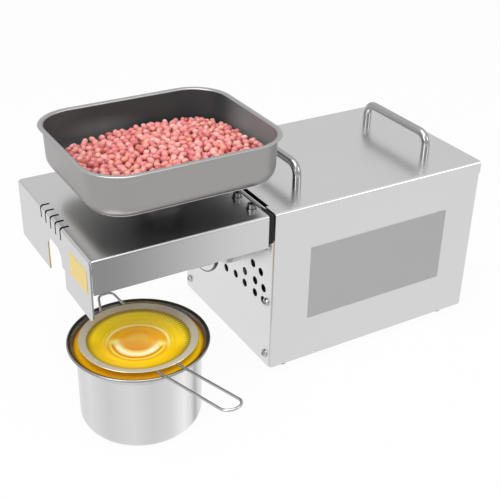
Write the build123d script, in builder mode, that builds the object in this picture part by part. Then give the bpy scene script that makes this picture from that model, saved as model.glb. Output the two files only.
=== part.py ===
import os
from math import acos, asin, cos, pi, radians, sin, sqrt, tan
from build123d import *

# A table-top screw press for seeds: a sheet-steel motor housing, a hinged hood over the pressing
# barrel, a loose feed pan above it and a pot with a strainer below. Lengths are in millimetres.
# +X runs from the hood to the motor housing, +Y from the near side to the far side, +Z up.

# housing
cover_length = 233.0
cover_width = 170.0
cover_height = 162.5
sheet = 1.2
bend = 2.4
lip_width = 11.0
vent_radius = 4.0
vent_places = ((0, -41.0), (18.3, -38.0), (35.3, -26.0), (35.3, -38.7), (49.6, -10.0),
               (54.0, -26.0), (54.2, -38.9), (63.5, -12.0), (68.9, -26.3), (68.9, -39.1))
foot_height = 9.0
foot_radius = 6.0
foot_taper = 0.6
foot_recess = 4.0
foot_recess_depth = 4.5
foot_inset_x = 21.0
foot_inset_y = 14.5
slip = 0.4
roof_part = 12.0
info_plate_left = 39.0
info_plate_right = 38.0
info_plate_below = 44.0
info_plate_above = 43.0

# holes for the 4 mm screws (free, close and core fit), and how long a cutter passes through a sheet
free_hole = 2.2
shank = 2.0
core_hole = 1.8
through = 10.0

# hood
hood_length = 170.0
hood_gap = 6.6
hood_flange = 31.0
end_flange = 57.0
near_corner = 7.0
far_corner = 22.0
arch_half = 16.5
arch_rise = 34.0
arch_step = 6.0
arch_step_rise = 18.5
arch_corner = 11.0
arch_place = 82.6
slit_middle = 87.0
slit_count = 5
slit_pitch = 11.6
slit_width = 1.8
slit_down = 11.0
slit_back = 7.5
hood_plate_near = 8.0
hood_plate_far = 45.0
hood_plate_below = 33.5
hood_plate_above = 12.0

# hinge between the hood and the housing
hinge_end_gap = 2.0
hinge_screw_first = 20.0
hinge_screw_second = 45.0
hinge_screw_back = 12.8
knuckle_radius = 2.2
pin_radius = 1.1
pin_fit = 0.05
knuckle_count = 5
knuckle_gap = 0.3
cap_head_radius = 3.6
cap_head_height = 4.0
washer = 0.8
notch_start = 17.0
notch_depth = 3.0
seal_start = 135.0
plate_thick = 0.3

# pressing chamber
axis_y = 83.5
axis_z = 107.0
barrel_radius = 23.0
bore_radius = 15.4
screw_radius = 15.0
barrel_length = 139.0
collar_thick = 8.0
drip_place = 33.0
drip_slot = 1.2
drip_length = 28.0
heater_place = 45.5
heater_thick = 4.0
feed_x = 68.0
neck_radius = 21.0
neck_bore = 17.6
neck_rise = 4.5
disc_radius = 33.0
disc_x = 28.5
nut_radius = 24.0
nut_length = 17.0
flight_pitch = 18.0
flight_length = 108.0
flight_root = 7.5
flight_base = 3.6
flight_crest = 1.6
flight_start = 4.0
nose_back = 1.0
nose_core = 10.0
core_front = 12.4
core_rear = 8.6
screw_length = 189.0
nose_radius = 20.0
collar_radius = 30.5
bolt_circle = 27.0
cake_hole = 11.0
neck_gap = 2.5
shaft_radius = 9.0

# gear train
coarse_module = 1.25
fine_module = 1.0
output_teeth = 63
coarse_pinion_teeth = 17
wheel_teeth = 71
fine_pinion_teeth = 17
counter_angle = -50.0
motor_angle = 190.0
case_wall = 4.0
case_depth = 44.0
motor_radius = 38.0
motor_length = 112.0
motor_shaft_radius = 4.0
fan_radius = 33.0
fan_hub = 9.0
fan_blades = 9
saddle_start = 40.0
saddle_length = 30.0
saddle_half = 26.0
saddle_drop = 22.0

# control board
board_length = 56.0
board_width = 44.0
board_thick = 1.6
board_from_back = 84.0
board_from_far = 54.0
board_post = 6.0
post_radius = 2.5
post_inset = 5.0
shaft_fit = 0.05

# carrying handles
handle_bar = 4.0
handle_span = 94.0
handle_rise = 26.0
handle_bend = 11.0
handle_near = 36.5
handle_first = 44.0
handle_last = 41.0

# feed pan
pan_length = 184.0
pan_width = 157.5
pan_corner = 37.8
pan_lip = 4.0
pan_depth = 42.0
pan_top = 225.0
pan_floor_radius = 14.0
pan_taper = 1.2
pan_wall = 1.0
spout_radius = 17.0
spout_end = 150.0
pan_offset = 68.0
heap_peak = 26.0
heap_ball = 500.0
heap_aside = (16.0, -36.5)
heap_gap = 0.6

# pot and strainer
pot_x = 126.5
pot_y = 12.0
pot_rim = 61.0
pot_body = 53.3
pot_clear = 12.0
pot_floor_radius = 11.0
pot_wall = 1.0
strainer_rim = 51.0
strainer_inner = 44.6
strainer_depth = 29.0
strainer_lift = 1.0
wire_sink = 1.0
wire = 1.2
handle_reach_out = 141.0
handle_turn = 9.4
handle_tilt = 10.0
ear_reach = 17.0
ear_turn = 92.0
ear_tilt = 22.0
handle_aside = -6.0
ear_base = 11.5
ear_tip = 6.5
wire_start = 0.9
wire_gap = 9.2
loop_corner = 8.8
ear_corner = 5.5
mesh_skin = 0.7
pot_oil_drop = 5.0
pot_bead = 1.2
pot_flare = 11.0
band_drop = 2.6
band_thick = 0.8
bowl_oil_drop = 2.4
bowl_oil_gap = 0.3
pot_oil_gap = 0.8

# rear fittings
bezel = 2.0
rocker_tip = 2.0
rocker_half = 11.8
rocker_throw = 9.0
switch_places = (50.0, 84.0)
inlet_side = 54.0
fuse_side = 20.0
fuse_radius = 6.0
louvre_share = 0.306
louvre_count = 9
louvre_pitch = 9.0
louvre_length = 44.0
louvre_height = 3.0
louvre_middle = 64.0
blade_places = ((-7.0, -2.5), (0.0, 2.5), (7.0, -2.5))

os.makedirs("parts", exist_ok=True)

# a round piece that stands on its place
standing = (Align.CENTER, Align.CENTER, Align.MIN)

# places on the housing that follow its size
handle_places = (handle_first, cover_length - handle_last)
hinge_run = cover_width - 2 * (notch_start + hinge_end_gap)
inlet_y = cover_width - inlet_side
fuse_y = cover_width - fuse_side
louvre_y = cover_width * louvre_share

# where the housing stands so that the whole set is centred on the origin
pot_side = pot_x + pot_rim
rocker_reach = rocker_tip * cos(radians(rocker_throw)) + rocker_half * sin(radians(rocker_throw))
rear_side = cover_length + sheet + bezel - 0.5 + rocker_reach
left = (pot_side - rear_side) / 2
loop_turn = radians(handle_turn)
loop_flat = cos(radians(handle_tilt))
loop_reach = strainer_rim + (handle_reach_out - loop_corner - strainer_rim) * loop_flat
loop_middle = loop_reach * cos(loop_turn) - (handle_aside - wire_gap + loop_corner) * sin(loop_turn)
loop_round = loop_corner * sqrt((loop_flat * cos(loop_turn)) ** 2 + sin(loop_turn) ** 2)
loop_side = loop_middle + loop_round + wire - pot_y
near = (loop_side - cover_width) / 2
far = near + cover_width
right = left + cover_length
low = foot_height
top = low + cover_height
chamber_y = near + axis_y
chamber_z = low + axis_z
switch_z = low + 122.0
inlet_z = low + 40.0
handle_feet = [(left + x, near + handle_near + y) for x in handle_places for y in (0, handle_span)]
pot_height = chamber_z - nut_radius - pot_clear
pot_oil_level = pot_height - pot_oil_drop


def save(part, name):
    part.label = name
    export_step(part, f"parts/{name}.step")


def box(x0, x1, y0, y1, z0, z1, mode=Mode.ADD):
    # a plain block between two opposite corners
    with Locations(((x0 + x1) / 2, (y0 + y1) / 2, (z0 + z1) / 2)):
        return Box(abs(x1 - x0), abs(y1 - y0), abs(z1 - z0), mode=mode)


def foot_places():
    # the four corners where the feet stand
    ends = (left + foot_inset_x, right - foot_inset_x)
    sides = (near + foot_inset_y, far - foot_inset_y)
    return [(x, y) for x in ends for y in sides]


def hinge_screws():
    # two screws near each end of the hinge
    steps = (hinge_screw_first, hinge_screw_second)
    return [(left - hinge_screw_back, y) for step in steps for y in (near + step, far - step)]


def along_x(x, y=0.0, z=0.0):
    # a plane whose normal points along +X, with its own x running along +Y
    return Plane(origin=(x, y, z), x_dir=(0, 1, 0), z_dir=(1, 0, 0))


def rod(x0, x1, y, z, radius):
    # a round bar along X
    with BuildSketch(along_x(min(x0, x1), y, z)) as end:
        Circle(radius)
    return extrude(end.sketch, amount=abs(x1 - x0))


def screw_at(places, radius=4.0, height=2.4, stem=1.6, length=8.0):
    # domed cross-slot screws, one on each plane given, as one group of solids
    with BuildPart() as one:
        with BuildSketch(Plane.XZ):
            with BuildLine():
                Polyline((0, height), (0, -length), (stem, -length), (stem, 0), (radius, 0),
                         (radius, height * 0.4))
                ThreePointArc((radius, height * 0.4), (radius * 0.74, height * 0.84), (0, height))
            make_face()
        revolve(axis=Axis.Z)
        with Locations((0, 0, height)):
            Box(radius * 1.1, 0.9, height, mode=Mode.SUBTRACT)
            Box(0.9, radius * 1.1, height, mode=Mode.SUBTRACT)
    with BuildPart() as screws:
        for place in places:
            add(place * one.part)
    return screws.part


def barrel_bolt_place(x, number):
    # where one of the four barrel bolts crosses the plane at x
    return Plane.YZ * Pos(chamber_y, chamber_z, x) * Rot(0, 0, 45 + 90 * number) * Pos(bolt_circle, 0, 0)


def gear_face(teeth, size, phase):
    # one spur gear outline: involute flanks with a little backlash, turned to the phase given
    pitch_r = teeth * size / 2
    base_r = pitch_r * cos(radians(20))
    tip_r = pitch_r + size * 0.92
    root_r = pitch_r - size * 1.25
    inv = tan(radians(20)) - radians(20)

    def half_angle(r):
        lean = acos(min(1.0, base_r / r))
        return pi / (2 * teeth) - 0.05 / teeth + inv - (tan(lean) - lean)

    radii = [max(base_r, root_r), pitch_r, tip_r]
    points = []
    for tooth in range(teeth):
        middle = radians(phase) + 2 * pi * tooth / teeth
        foot = half_angle(radii[0])
        flank = [(root_r, foot * 1.02)] if root_r < radii[0] - 0.05 else []
        flank += [(r, half_angle(r)) for r in radii]
        points += [(r * cos(middle - a), r * sin(middle - a)) for r, a in flank]
        points += [(r * cos(middle + a), r * sin(middle + a)) for r, a in reversed(flank)]
    with BuildLine() as outline:
        Polyline(*points, close=True)
    make_face(outline.edges())


# where the screws sit on both ends of the housing
panel_rows = [low + 12.0 + 57.0 * i for i in range(3)]
panel_sides = (near + 9.0, far - 9.0)
mid = (near + far) / 2

# cover: one sheet bent over the top and down both sides, its upright ends turned inward as lips
with BuildPart() as cover:
    with BuildSketch(along_x(left, mid, top)) as section:
        with Locations((0, -roof_part / 2)):
            roof = Rectangle(cover_width, roof_part)
        fillet(roof.vertices().group_by(Axis.Y)[-1], bend)
        with Locations((0, -sheet - roof_part / 2)):
            Rectangle(cover_width - 2 * sheet, roof_part, mode=Mode.SUBTRACT)
    extrude(amount=cover_length)
    for y, turn in ((near, 1), (far, -1)):
        with BuildSketch(Plane.XY.offset(low)):
            with Locations(((left + right) / 2, y + turn * lip_width / 2)):
                side = Rectangle(cover_length, lip_width)
            fillet(side.vertices().group_by(Axis.Y)[0 if turn > 0 else -1], bend)
            with Locations(((left + right) / 2, y + turn * (sheet + lip_width / 2))):
                Rectangle(cover_length - 2 * sheet, lip_width, mode=Mode.SUBTRACT)
        extrude(amount=cover_height - roof_part)
    box(left - 1, left + notch_depth, near + notch_start, far - notch_start, top - sheet * 2, top + 1,
        Mode.SUBTRACT)
    for x, y in handle_feet:
        with Locations((x, y, top)):
            Cylinder(free_hole, through, mode=Mode.SUBTRACT)
    for y in panel_sides:
        for z in panel_rows:
            with Locations(Plane.YZ * Pos(y, z, (left + right) / 2)):
                Cylinder(core_hole, cover_length + 4, mode=Mode.SUBTRACT)
save(cover.part, "cover")

# carrying handles: round bar bent into a low staple, tapped up the legs for a screw
with BuildPart() as handles:
    for x in handle_places:
        with BuildLine(along_x(left + x, near + handle_near, top)) as route:
            FilletPolyline((0, 0), (0, handle_rise - handle_bar), (handle_span, handle_rise - handle_bar),
                           (handle_span, 0), radius=handle_bend)
        with BuildSketch(Plane(origin=route.line @ 0, z_dir=route.line % 0)):
            Circle(handle_bar)
        sweep(path=route.line)
    for x, y in handle_feet:
        with Locations((x, y, top)):
            Cylinder(shank, 12, align=standing, mode=Mode.SUBTRACT)
save(handles.part, "carry_handles")

handle_seats = [Plane(origin=(x, y, top - sheet), z_dir=(0, 0, -1)) for x, y in handle_feet]
save(screw_at(handle_seats, 3.6, 2.2, 1.9, 10), "handle_screws")

# end panel towards the hood: a flat plate with the barrel hole and a fan of round vents
with BuildPart() as end_panel:
    box(left - sheet, left, near + bend, far - bend, low + 0.5, top - sheet - 0.4)
    with Locations(Plane.YZ * Pos(chamber_y, chamber_z, left)):
        Cylinder(barrel_radius + slip, through, mode=Mode.SUBTRACT)
    vents = [(dy, dz) for dy, dz in vent_places] + [(-dy, dz) for dy, dz in vent_places if dy]
    for dy, dz in vents:
        with Locations(Plane.YZ * Pos(chamber_y + dy, chamber_z + dz, left)):
            Cylinder(vent_radius, through, mode=Mode.SUBTRACT)
    for y in panel_sides:
        for z in panel_rows:
            with Locations(Plane.YZ * Pos(y, z, left)):
                Cylinder(core_hole, through, mode=Mode.SUBTRACT)
    for a in range(4):
        with Locations(barrel_bolt_place(left, a)):
            Cylinder(free_hole, through, mode=Mode.SUBTRACT)
save(end_panel.part, "end_panel")

# rear panel: openings for two switches, the fuse and the mains inlet, with louvre slots beside them
with BuildPart() as rear_panel:
    box(right, right + sheet, near + bend, far - bend, low + 0.5, top - sheet - 0.4)
    for y in switch_places:
        box(right - 2, right + 3, near + y - 6.9, near + y + 6.9, switch_z - 13.4, switch_z + 13.4,
            Mode.SUBTRACT)
    box(right - 2, right + 3, near + inlet_y - 14, near + inlet_y + 14, inlet_z - 10.4, inlet_z + 10.4,
        Mode.SUBTRACT)
    with Locations(Plane.YZ * Pos(near + fuse_y, inlet_z, right)):
        Cylinder(fuse_radius + 0.3, through, mode=Mode.SUBTRACT)
    with BuildSketch(along_x(right - 1, near + louvre_y, low + louvre_middle)):
        with GridLocations(0, louvre_pitch, 1, louvre_count):
            SlotOverall(louvre_length, louvre_height)
    extrude(amount=4, mode=Mode.SUBTRACT)
    for y in panel_sides:
        for z in panel_rows:
            with Locations(Plane.YZ * Pos(y, z, right)):
                Cylinder(core_hole, through, mode=Mode.SUBTRACT)
save(rear_panel.part, "rear_panel")

front_screws = [Plane(origin=(left - sheet, y, z), z_dir=(-1, 0, 0)) for y in panel_sides for z in panel_rows]
back_screws = [Plane(origin=(right + sheet, y, z), z_dir=(1, 0, 0)) for y in panel_sides for z in panel_rows]
save(screw_at(front_screws + back_screws, 4.0, 2.4, 1.7, 7), "panel_screws")

# base plate: a shallow tray inside the cover, its end flanges behind the panel screws
with BuildPart() as base_plate:
    gap = sheet + slip
    box(left + gap, right - gap, near + gap, far - gap, low, low + sheet)
    for y in (near + gap, far - gap - sheet):
        box(left + lip_width, right - lip_width, y, y + sheet, low, low + 14)
    for x in (left + gap, right - gap - sheet):
        box(x, x + sheet, near + gap, far - gap, low, low + 18)
    for y in panel_sides:
        with Locations(Plane.YZ * Pos(y, panel_rows[0], (left + right) / 2)):
            Cylinder(core_hole, cover_length, mode=Mode.SUBTRACT)
    for x, y in foot_places():
        with Locations((x, y, low)):
            Cylinder(shank, through, mode=Mode.SUBTRACT)
save(base_plate.part, "base_plate")

# rubber feet, each with a sunk screw
with BuildPart() as feet:
    for x, y in foot_places():
        with Locations((x, y, 0)):
            Cone(foot_radius - foot_taper, foot_radius, foot_height, align=standing)
            Cylinder(foot_recess, foot_recess_depth, align=standing, mode=Mode.SUBTRACT)
            Cylinder(shank, foot_height, align=standing, mode=Mode.SUBTRACT)
save(feet.part, "feet")
foot_seats = [Plane(origin=(x, y, foot_recess_depth), z_dir=(0, 0, -1)) for x, y in foot_places()]
save(screw_at(foot_seats, 3.8, 2.2, 1.9, 11), "foot_screws")

# hood: one sheet, bent down at both sides and at the end, where the plate is cut for the barrel nose
hood_end = left - hood_length
hood_back = left - hood_gap
arch_y = near + arch_place
with BuildPart() as hood:
    with BuildSketch(Plane(origin=(0, near + bend, 0), x_dir=(1, 0, 0), z_dir=(0, -1, 0))) as bent:
        with BuildLine():
            Polyline((hood_end, top - 9), (hood_end, top), (hood_end + 9, top), (hood_end + 9, top - sheet),
                     (hood_end + sheet, top - sheet), (hood_end + sheet, top - 9), close=True)
        make_face()
        fillet(bent.vertices().sort_by_distance(Vertex(hood_end, top, 0))[0], bend)
        fillet(bent.vertices().sort_by_distance(Vertex(hood_end + sheet, top - sheet, 0))[0], bend - sheet)
    extrude(amount=-(cover_width - 2 * bend))
    with BuildSketch(along_x(hood_end, mid, top - end_flange)) as end_plate:
        with Locations((0, (end_flange - bend) / 2)):
            plate = Rectangle(cover_width, end_flange - bend)
        ends = plate.vertices().group_by(Axis.Y)[0].sort_by(Axis.X)
        fillet(ends[0], near_corner)
        fillet(ends[-1], far_corner)
        with Locations((arch_y - mid, 0)):
            RectangleRounded(2 * arch_half, 2 * arch_rise, arch_corner, mode=Mode.SUBTRACT)
        with Locations((arch_y - mid - arch_half, 0)):
            Rectangle(2 * arch_step, 2 * arch_step_rise, mode=Mode.SUBTRACT)
    extrude(amount=sheet)
    with BuildSketch(along_x(hood_end + sheet + 0.9, mid, top)) as channel:
        with Locations((0, -hood_flange / 2)):
            tray = Rectangle(cover_width, hood_flange)
        fillet(tray.vertices().group_by(Axis.Y)[-1], bend)
        with Locations((0, -hood_flange / 2 - sheet)):
            Rectangle(cover_width - 2 * sheet, hood_flange, mode=Mode.SUBTRACT)
    extrude(amount=hood_length - hood_gap - sheet - 0.9)
    for i in range(slit_count):
        y = near + slit_middle + (i - (slit_count - 1) / 2) * slit_pitch
        box(hood_end - 1, hood_end + slit_back, y - slit_width / 2, y + slit_width / 2,
            top - slit_down, top + 1, Mode.SUBTRACT)
    with Locations((left - feed_x, chamber_y, top)):
        Cylinder(neck_radius + neck_gap, through, mode=Mode.SUBTRACT)
    with Locations(*[(x, y, top) for x, y in hinge_screws()]):
        Cylinder(free_hole, through, mode=Mode.SUBTRACT)
save(hood.part, "hood")

# hinge: a fixed leaf on the end panel, a moving leaf under the hood, and the pin through their knuckles
hinge_x = hood_back + 2.9
hinge_z = top - 2.9
knuckle = hinge_run / knuckle_count


def leaf_knuckles(numbers):
    for n in numbers:
        y0 = mid - hinge_run / 2 + n * knuckle + 0.15
        with Locations(Plane.XZ * Pos(hinge_x, hinge_z, -y0 - (knuckle - knuckle_gap) / 2)):
            Cylinder(knuckle_radius, knuckle - knuckle_gap)


def pin_bore():
    with Locations(Plane.XZ * Pos(hinge_x, hinge_z, -mid)):
        Cylinder(pin_radius + pin_fit, hinge_run + 10, mode=Mode.SUBTRACT)


with BuildPart() as fixed_leaf:
    box(left - 2 * sheet, left - sheet, mid - hinge_run / 2, mid + hinge_run / 2, top - 22, top - 6)
    for n in (0, 2, 4):
        y0 = mid - hinge_run / 2 + n * knuckle + 0.15
        box(left - 2 * sheet, left - sheet, y0, y0 + knuckle - knuckle_gap, top - 7, hinge_z)
    leaf_knuckles((0, 2, 4))
    pin_bore()
save(fixed_leaf.part, "hinge_leaf_fixed")

with BuildPart() as moving_leaf:
    box(left - 22, hood_back, mid - hinge_run / 2, mid + hinge_run / 2, top - 2 * sheet, top - sheet)
    for n in (1, 3):
        y0 = mid - hinge_run / 2 + n * knuckle + 0.15
        box(hood_back - 1, hinge_x, y0, y0 + knuckle - knuckle_gap, top - 2 * sheet, top - sheet)
    leaf_knuckles((1, 3))
    pin_bore()
    with Locations(*[(x, y, top) for x, y in hinge_screws()]):
        Cylinder(free_hole, through, mode=Mode.SUBTRACT)
save(moving_leaf.part, "hinge_leaf_moving")

with BuildPart() as hinge_pin:
    with Locations(Plane.XZ * Pos(hinge_x, hinge_z, -mid)):
        Cylinder(pin_radius, hinge_run + 2)
save(hinge_pin.part, "hinge_pin")

# socket-head screws through hood and leaf, each with a washer on top and a nut below
with BuildPart() as cap_screw:
    Cylinder(cap_head_radius + 1.2, washer, align=standing)
    with Locations((0, 0, washer)):
        Cylinder(cap_head_radius, cap_head_height, align=standing)
    with BuildSketch(Plane.XY.offset(washer + cap_head_height)):
        RegularPolygon(1.9, 6)
    extrude(amount=-2.2, mode=Mode.SUBTRACT)
    Cylinder(shank, 8.5, align=(Align.CENTER, Align.CENTER, Align.MAX))
    with BuildSketch(Plane.XY.offset(-2 * sheet)):
        RegularPolygon(3.9, 6)
    extrude(amount=-3.2)
with BuildPart() as hinge_bolts:
    for x, y in hinge_screws():
        add(Pos(x, y, top) * cap_screw.part)
save(hinge_bolts.part, "hood_bolts")

# black rubber strip in the gap between hood and housing, outboard of the hinge
with BuildPart() as seal:
    for y, turn in ((near + 0.4, 1), (far - 0.4, -1)):
        box(hood_back + 1.0, left - sheet, y, y + turn * 4, low + seal_start, top - 1.1)
        box(hood_back + 1.0, left - sheet, y, y + turn * (notch_start - 0.6), top - 6, top - 1.1)
save(seal.part, "hood_seal")

# bare plates: the grey one on the near side, the yellow one on the hood's end
with BuildPart() as info_plate:
    box(left + info_plate_left, right - info_plate_right, near - plate_thick, near,
        low + info_plate_below, top - info_plate_above)
save(info_plate.part, "info_plate")
with BuildPart() as hood_plate:
    box(hood_end - plate_thick, hood_end, near + hood_plate_near, near + hood_plate_far,
        top - hood_plate_below, top - hood_plate_above)
save(hood_plate.part, "hood_plate")

# barrel: the pressing chamber with its mounting collar, feed neck, oil slots and stand-off disc
nose = left - barrel_length
with BuildPart() as barrel:
    rod(nose, nose + 16, chamber_y, chamber_z, nose_radius)
    rod(nose + 15, left + 1.8, chamber_y, chamber_z, barrel_radius)
    rod(left - sheet - collar_thick, left - sheet, chamber_y, chamber_z, collar_radius)
    with Locations((left - feed_x, chamber_y, chamber_z)):
        Cylinder(neck_radius, top + neck_rise - chamber_z, align=standing)
    with BuildSketch(along_x(nose - 1, chamber_y, chamber_z)):
        Circle(bore_radius)
    extrude(amount=barrel_length + 10, mode=Mode.SUBTRACT)
    with Locations((left - feed_x, chamber_y, chamber_z)):
        Cylinder(bore_radius - 2, 60, align=standing, mode=Mode.SUBTRACT)
    with Locations((left - feed_x, chamber_y, chamber_z + barrel_radius)):
        Cylinder(neck_bore, 60, align=standing, mode=Mode.SUBTRACT)
    cage = Plane.YZ * Pos(chamber_y, chamber_z, nose + drip_place)
    for a in range(-160, -10, 20):
        with Locations(cage * Rot(0, 0, a) * Pos(barrel_radius - 4, 0, 0)):
            Box(16, drip_slot, drip_length, mode=Mode.SUBTRACT)
    for a in range(4):
        with Locations(barrel_bolt_place(left, a)):
            Cylinder(free_hole, 3 * through, mode=Mode.SUBTRACT)
save(barrel.part, "barrel")

with BuildPart() as disc:
    with BuildSketch(along_x(left - disc_x - 1.5, chamber_y, chamber_z)):
        Circle(disc_radius)
        Circle(barrel_radius + 0.05, mode=Mode.SUBTRACT)
    extrude(amount=3)
save(disc.part, "barrel_disc")

with BuildPart() as collar_screw:
    Cylinder(3.2, 3.6, align=(Align.CENTER, Align.CENTER, Align.MAX))
    Cylinder(shank, 18, align=standing)
with BuildPart() as barrel_bolts:
    for a in range(4):
        add(barrel_bolt_place(left - sheet - collar_thick, a) * collar_screw.part)
save(barrel_bolts.part, "barrel_bolts")

# nose nut: a scalloped hand nut on the barrel's mouth, with the hole that the cake leaves by
with BuildPart() as nose_nut:
    with BuildSketch(along_x(nose - 3, chamber_y, chamber_z)):
        Circle(nut_radius)
        with PolarLocations(nut_radius + 2.4, 12):
            Circle(4, mode=Mode.SUBTRACT)
        Circle(cake_hole, mode=Mode.SUBTRACT)
    extrude(amount=nut_length)
    with BuildSketch(along_x(nose - 0.05, chamber_y, chamber_z)):
        Circle(nose_radius + 0.05)
    extrude(amount=nut_length, mode=Mode.SUBTRACT)
save(nose_nut.part, "nose_nut")

# press screw: a core that thickens towards the nose, with one long helical flight and a plain shaft
with BuildPart() as flight:
    with BuildLine():
        turns = Helix(flight_pitch, flight_length, flight_root)
    with BuildSketch(Plane(origin=turns @ 0, x_dir=(1, 0, 0), z_dir=turns % 0)):
        crest = screw_radius - flight_root
        with BuildLine():
            Polyline((0, -flight_base), (crest, -flight_crest), (crest, flight_crest), (0, flight_base),
                     close=True)
        make_face()
    sweep(path=turns, is_frenet=True)
with BuildPart() as worm:
    with BuildSketch(Plane.XZ):
        with BuildLine():
            Polyline((0, 0), (nose_core, 0), (core_front, flight_start),
                     (core_rear, flight_start + flight_length),
                     (shaft_radius, flight_start + flight_length + 6), (shaft_radius, screw_length),
                     (0, screw_length), close=True)
        make_face()
    revolve(axis=Axis.Z)
    add(Pos(0, 0, flight_start) * flight.part)
save(along_x(nose + nose_back, chamber_y, chamber_z) * worm.part, "press_screw")

# heater band around the barrel with its clamp ears, and the thermostat beside it
with BuildPart() as heater_band:
    with BuildSketch(along_x(left - heater_place, chamber_y, chamber_z)):
        Circle(barrel_radius + heater_thick)
        with Locations((barrel_radius + 6, 0)):
            Rectangle(10, 8)
        Circle(barrel_radius + 0.1, mode=Mode.SUBTRACT)
        with Locations((barrel_radius + 6, 0)):
            Rectangle(14, 1.6, mode=Mode.SUBTRACT)
    extrude(amount=14)
save(heater_band.part, "heater_band")
with BuildPart() as thermostat:
    with Locations((left - 17.5, chamber_y, chamber_z + barrel_radius + 0.05)):
        Cylinder(5.5, 6, align=standing)
        Box(12, 5, 2.5, align=standing)
save(thermostat.part, "thermostat")

# gear train: motor pinion, cluster gear and output gear, meshed on parallel shafts
coarse_span = (output_teeth + coarse_pinion_teeth) * coarse_module / 2
fine_span = (wheel_teeth + fine_pinion_teeth) * fine_module / 2
counter_y = chamber_y + coarse_span * cos(radians(counter_angle))
counter_z = chamber_z + coarse_span * sin(radians(counter_angle))
motor_y = counter_y + fine_span * cos(radians(motor_angle))
motor_z = counter_z + fine_span * sin(radians(motor_angle))

with BuildPart() as output_gear:
    with BuildSketch(along_x(left + 12, chamber_y, chamber_z)):
        gear_face(output_teeth, coarse_module, counter_angle)
        with PolarLocations(24, 6):
            Circle(6, mode=Mode.SUBTRACT)
        Circle(shaft_radius + shaft_fit, mode=Mode.SUBTRACT)
    extrude(amount=13)
save(output_gear.part, "output_gear")

with BuildPart() as cluster_gear:
    with BuildSketch(along_x(left + 11.5, counter_y, counter_z)):
        gear_face(coarse_pinion_teeth, coarse_module, counter_angle + 180 + 180 / coarse_pinion_teeth)
    extrude(amount=14)
    rod(left + 25, left + 30, counter_y, counter_z, 12)
    with BuildSketch(along_x(left + 30, counter_y, counter_z)):
        gear_face(wheel_teeth, fine_module, motor_angle)
        with PolarLocations(23, 5):
            Circle(6, mode=Mode.SUBTRACT)
    extrude(amount=10)
    rod(left + 3, left + 51, counter_y, counter_z, 6)
save(cluster_gear.part, "cluster_gear")

with BuildPart() as motor_pinion:
    with BuildSketch(along_x(left + 29.5, motor_y, motor_z)):
        gear_face(fine_pinion_teeth, fine_module, motor_angle + 180 + 180 / fine_pinion_teeth)
        Circle(4 + shaft_fit, mode=Mode.SUBTRACT)
    extrude(amount=11)
save(motor_pinion.part, "motor_pinion")

# gearbox: a cast case shaped round the three gears, closed by a lid that carries the motor
gear_places = ((chamber_y, chamber_z, 45.0), (counter_y, counter_z, 41.0), (motor_y, motor_z, 20.0))
case_back = left + 2 + case_depth


def case_outline(inset):
    for y, z, r in gear_places:
        with Locations((y - chamber_y, z - chamber_z)):
            Circle(r - inset)
    make_hull()


with BuildPart() as gearbox_case:
    with BuildSketch(along_x(left + 2, chamber_y, chamber_z)):
        case_outline(0)
    extrude(amount=case_depth)
    with BuildSketch(along_x(left + 6, chamber_y, chamber_z)):
        case_outline(case_wall)
    extrude(amount=case_depth, mode=Mode.SUBTRACT)
    rod(left + 4, left + 10.5, chamber_y, chamber_z, 18)
    rod(left + 4, left + 10.5, counter_y, counter_z, 11.5)
    with Locations(Plane.YZ * Pos(chamber_y, chamber_z, left + 3)):
        Cylinder(14 + shaft_fit, 30, align=standing, mode=Mode.SUBTRACT)
        Cylinder(11, 6, mode=Mode.SUBTRACT)
    with Locations(Plane.YZ * Pos(counter_y, counter_z, left + 2.8)):
        Cylinder(9 + shaft_fit, 30, align=standing, mode=Mode.SUBTRACT)
    for a in range(4):
        with Locations(barrel_bolt_place(left, a)):
            Cylinder(2.05, 24, mode=Mode.SUBTRACT)
save(gearbox_case.part, "gearbox_case")

with BuildPart() as gearbox_lid:
    with BuildSketch(along_x(case_back, chamber_y, chamber_z)):
        case_outline(0)
    extrude(amount=8)
    with Locations(Plane.YZ * Pos(chamber_y, chamber_z, case_back - 1)):
        Cylinder(14 + shaft_fit, 7, align=standing, mode=Mode.SUBTRACT)
    with Locations(Plane.YZ * Pos(counter_y, counter_z, case_back - 1)):
        Cylinder(9 + shaft_fit, 7, align=standing, mode=Mode.SUBTRACT)
    with Locations(Plane.YZ * Pos(motor_y, motor_z, case_back + 4)):
        Cylinder(6, 20, mode=Mode.SUBTRACT)
save(gearbox_lid.part, "gearbox_lid")

with BuildPart() as bearings:
    for y, z, inner, outer in ((chamber_y, chamber_z, shaft_radius, 14), (counter_y, counter_z, 6, 9)):
        for x in (left + 3.2, case_back):
            with BuildSketch(along_x(x, y, z)):
                Circle(outer)
                Circle(inner + shaft_fit, mode=Mode.SUBTRACT)
            extrude(amount=5.5)
save(bearings.part, "gearbox_bearings")

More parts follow.
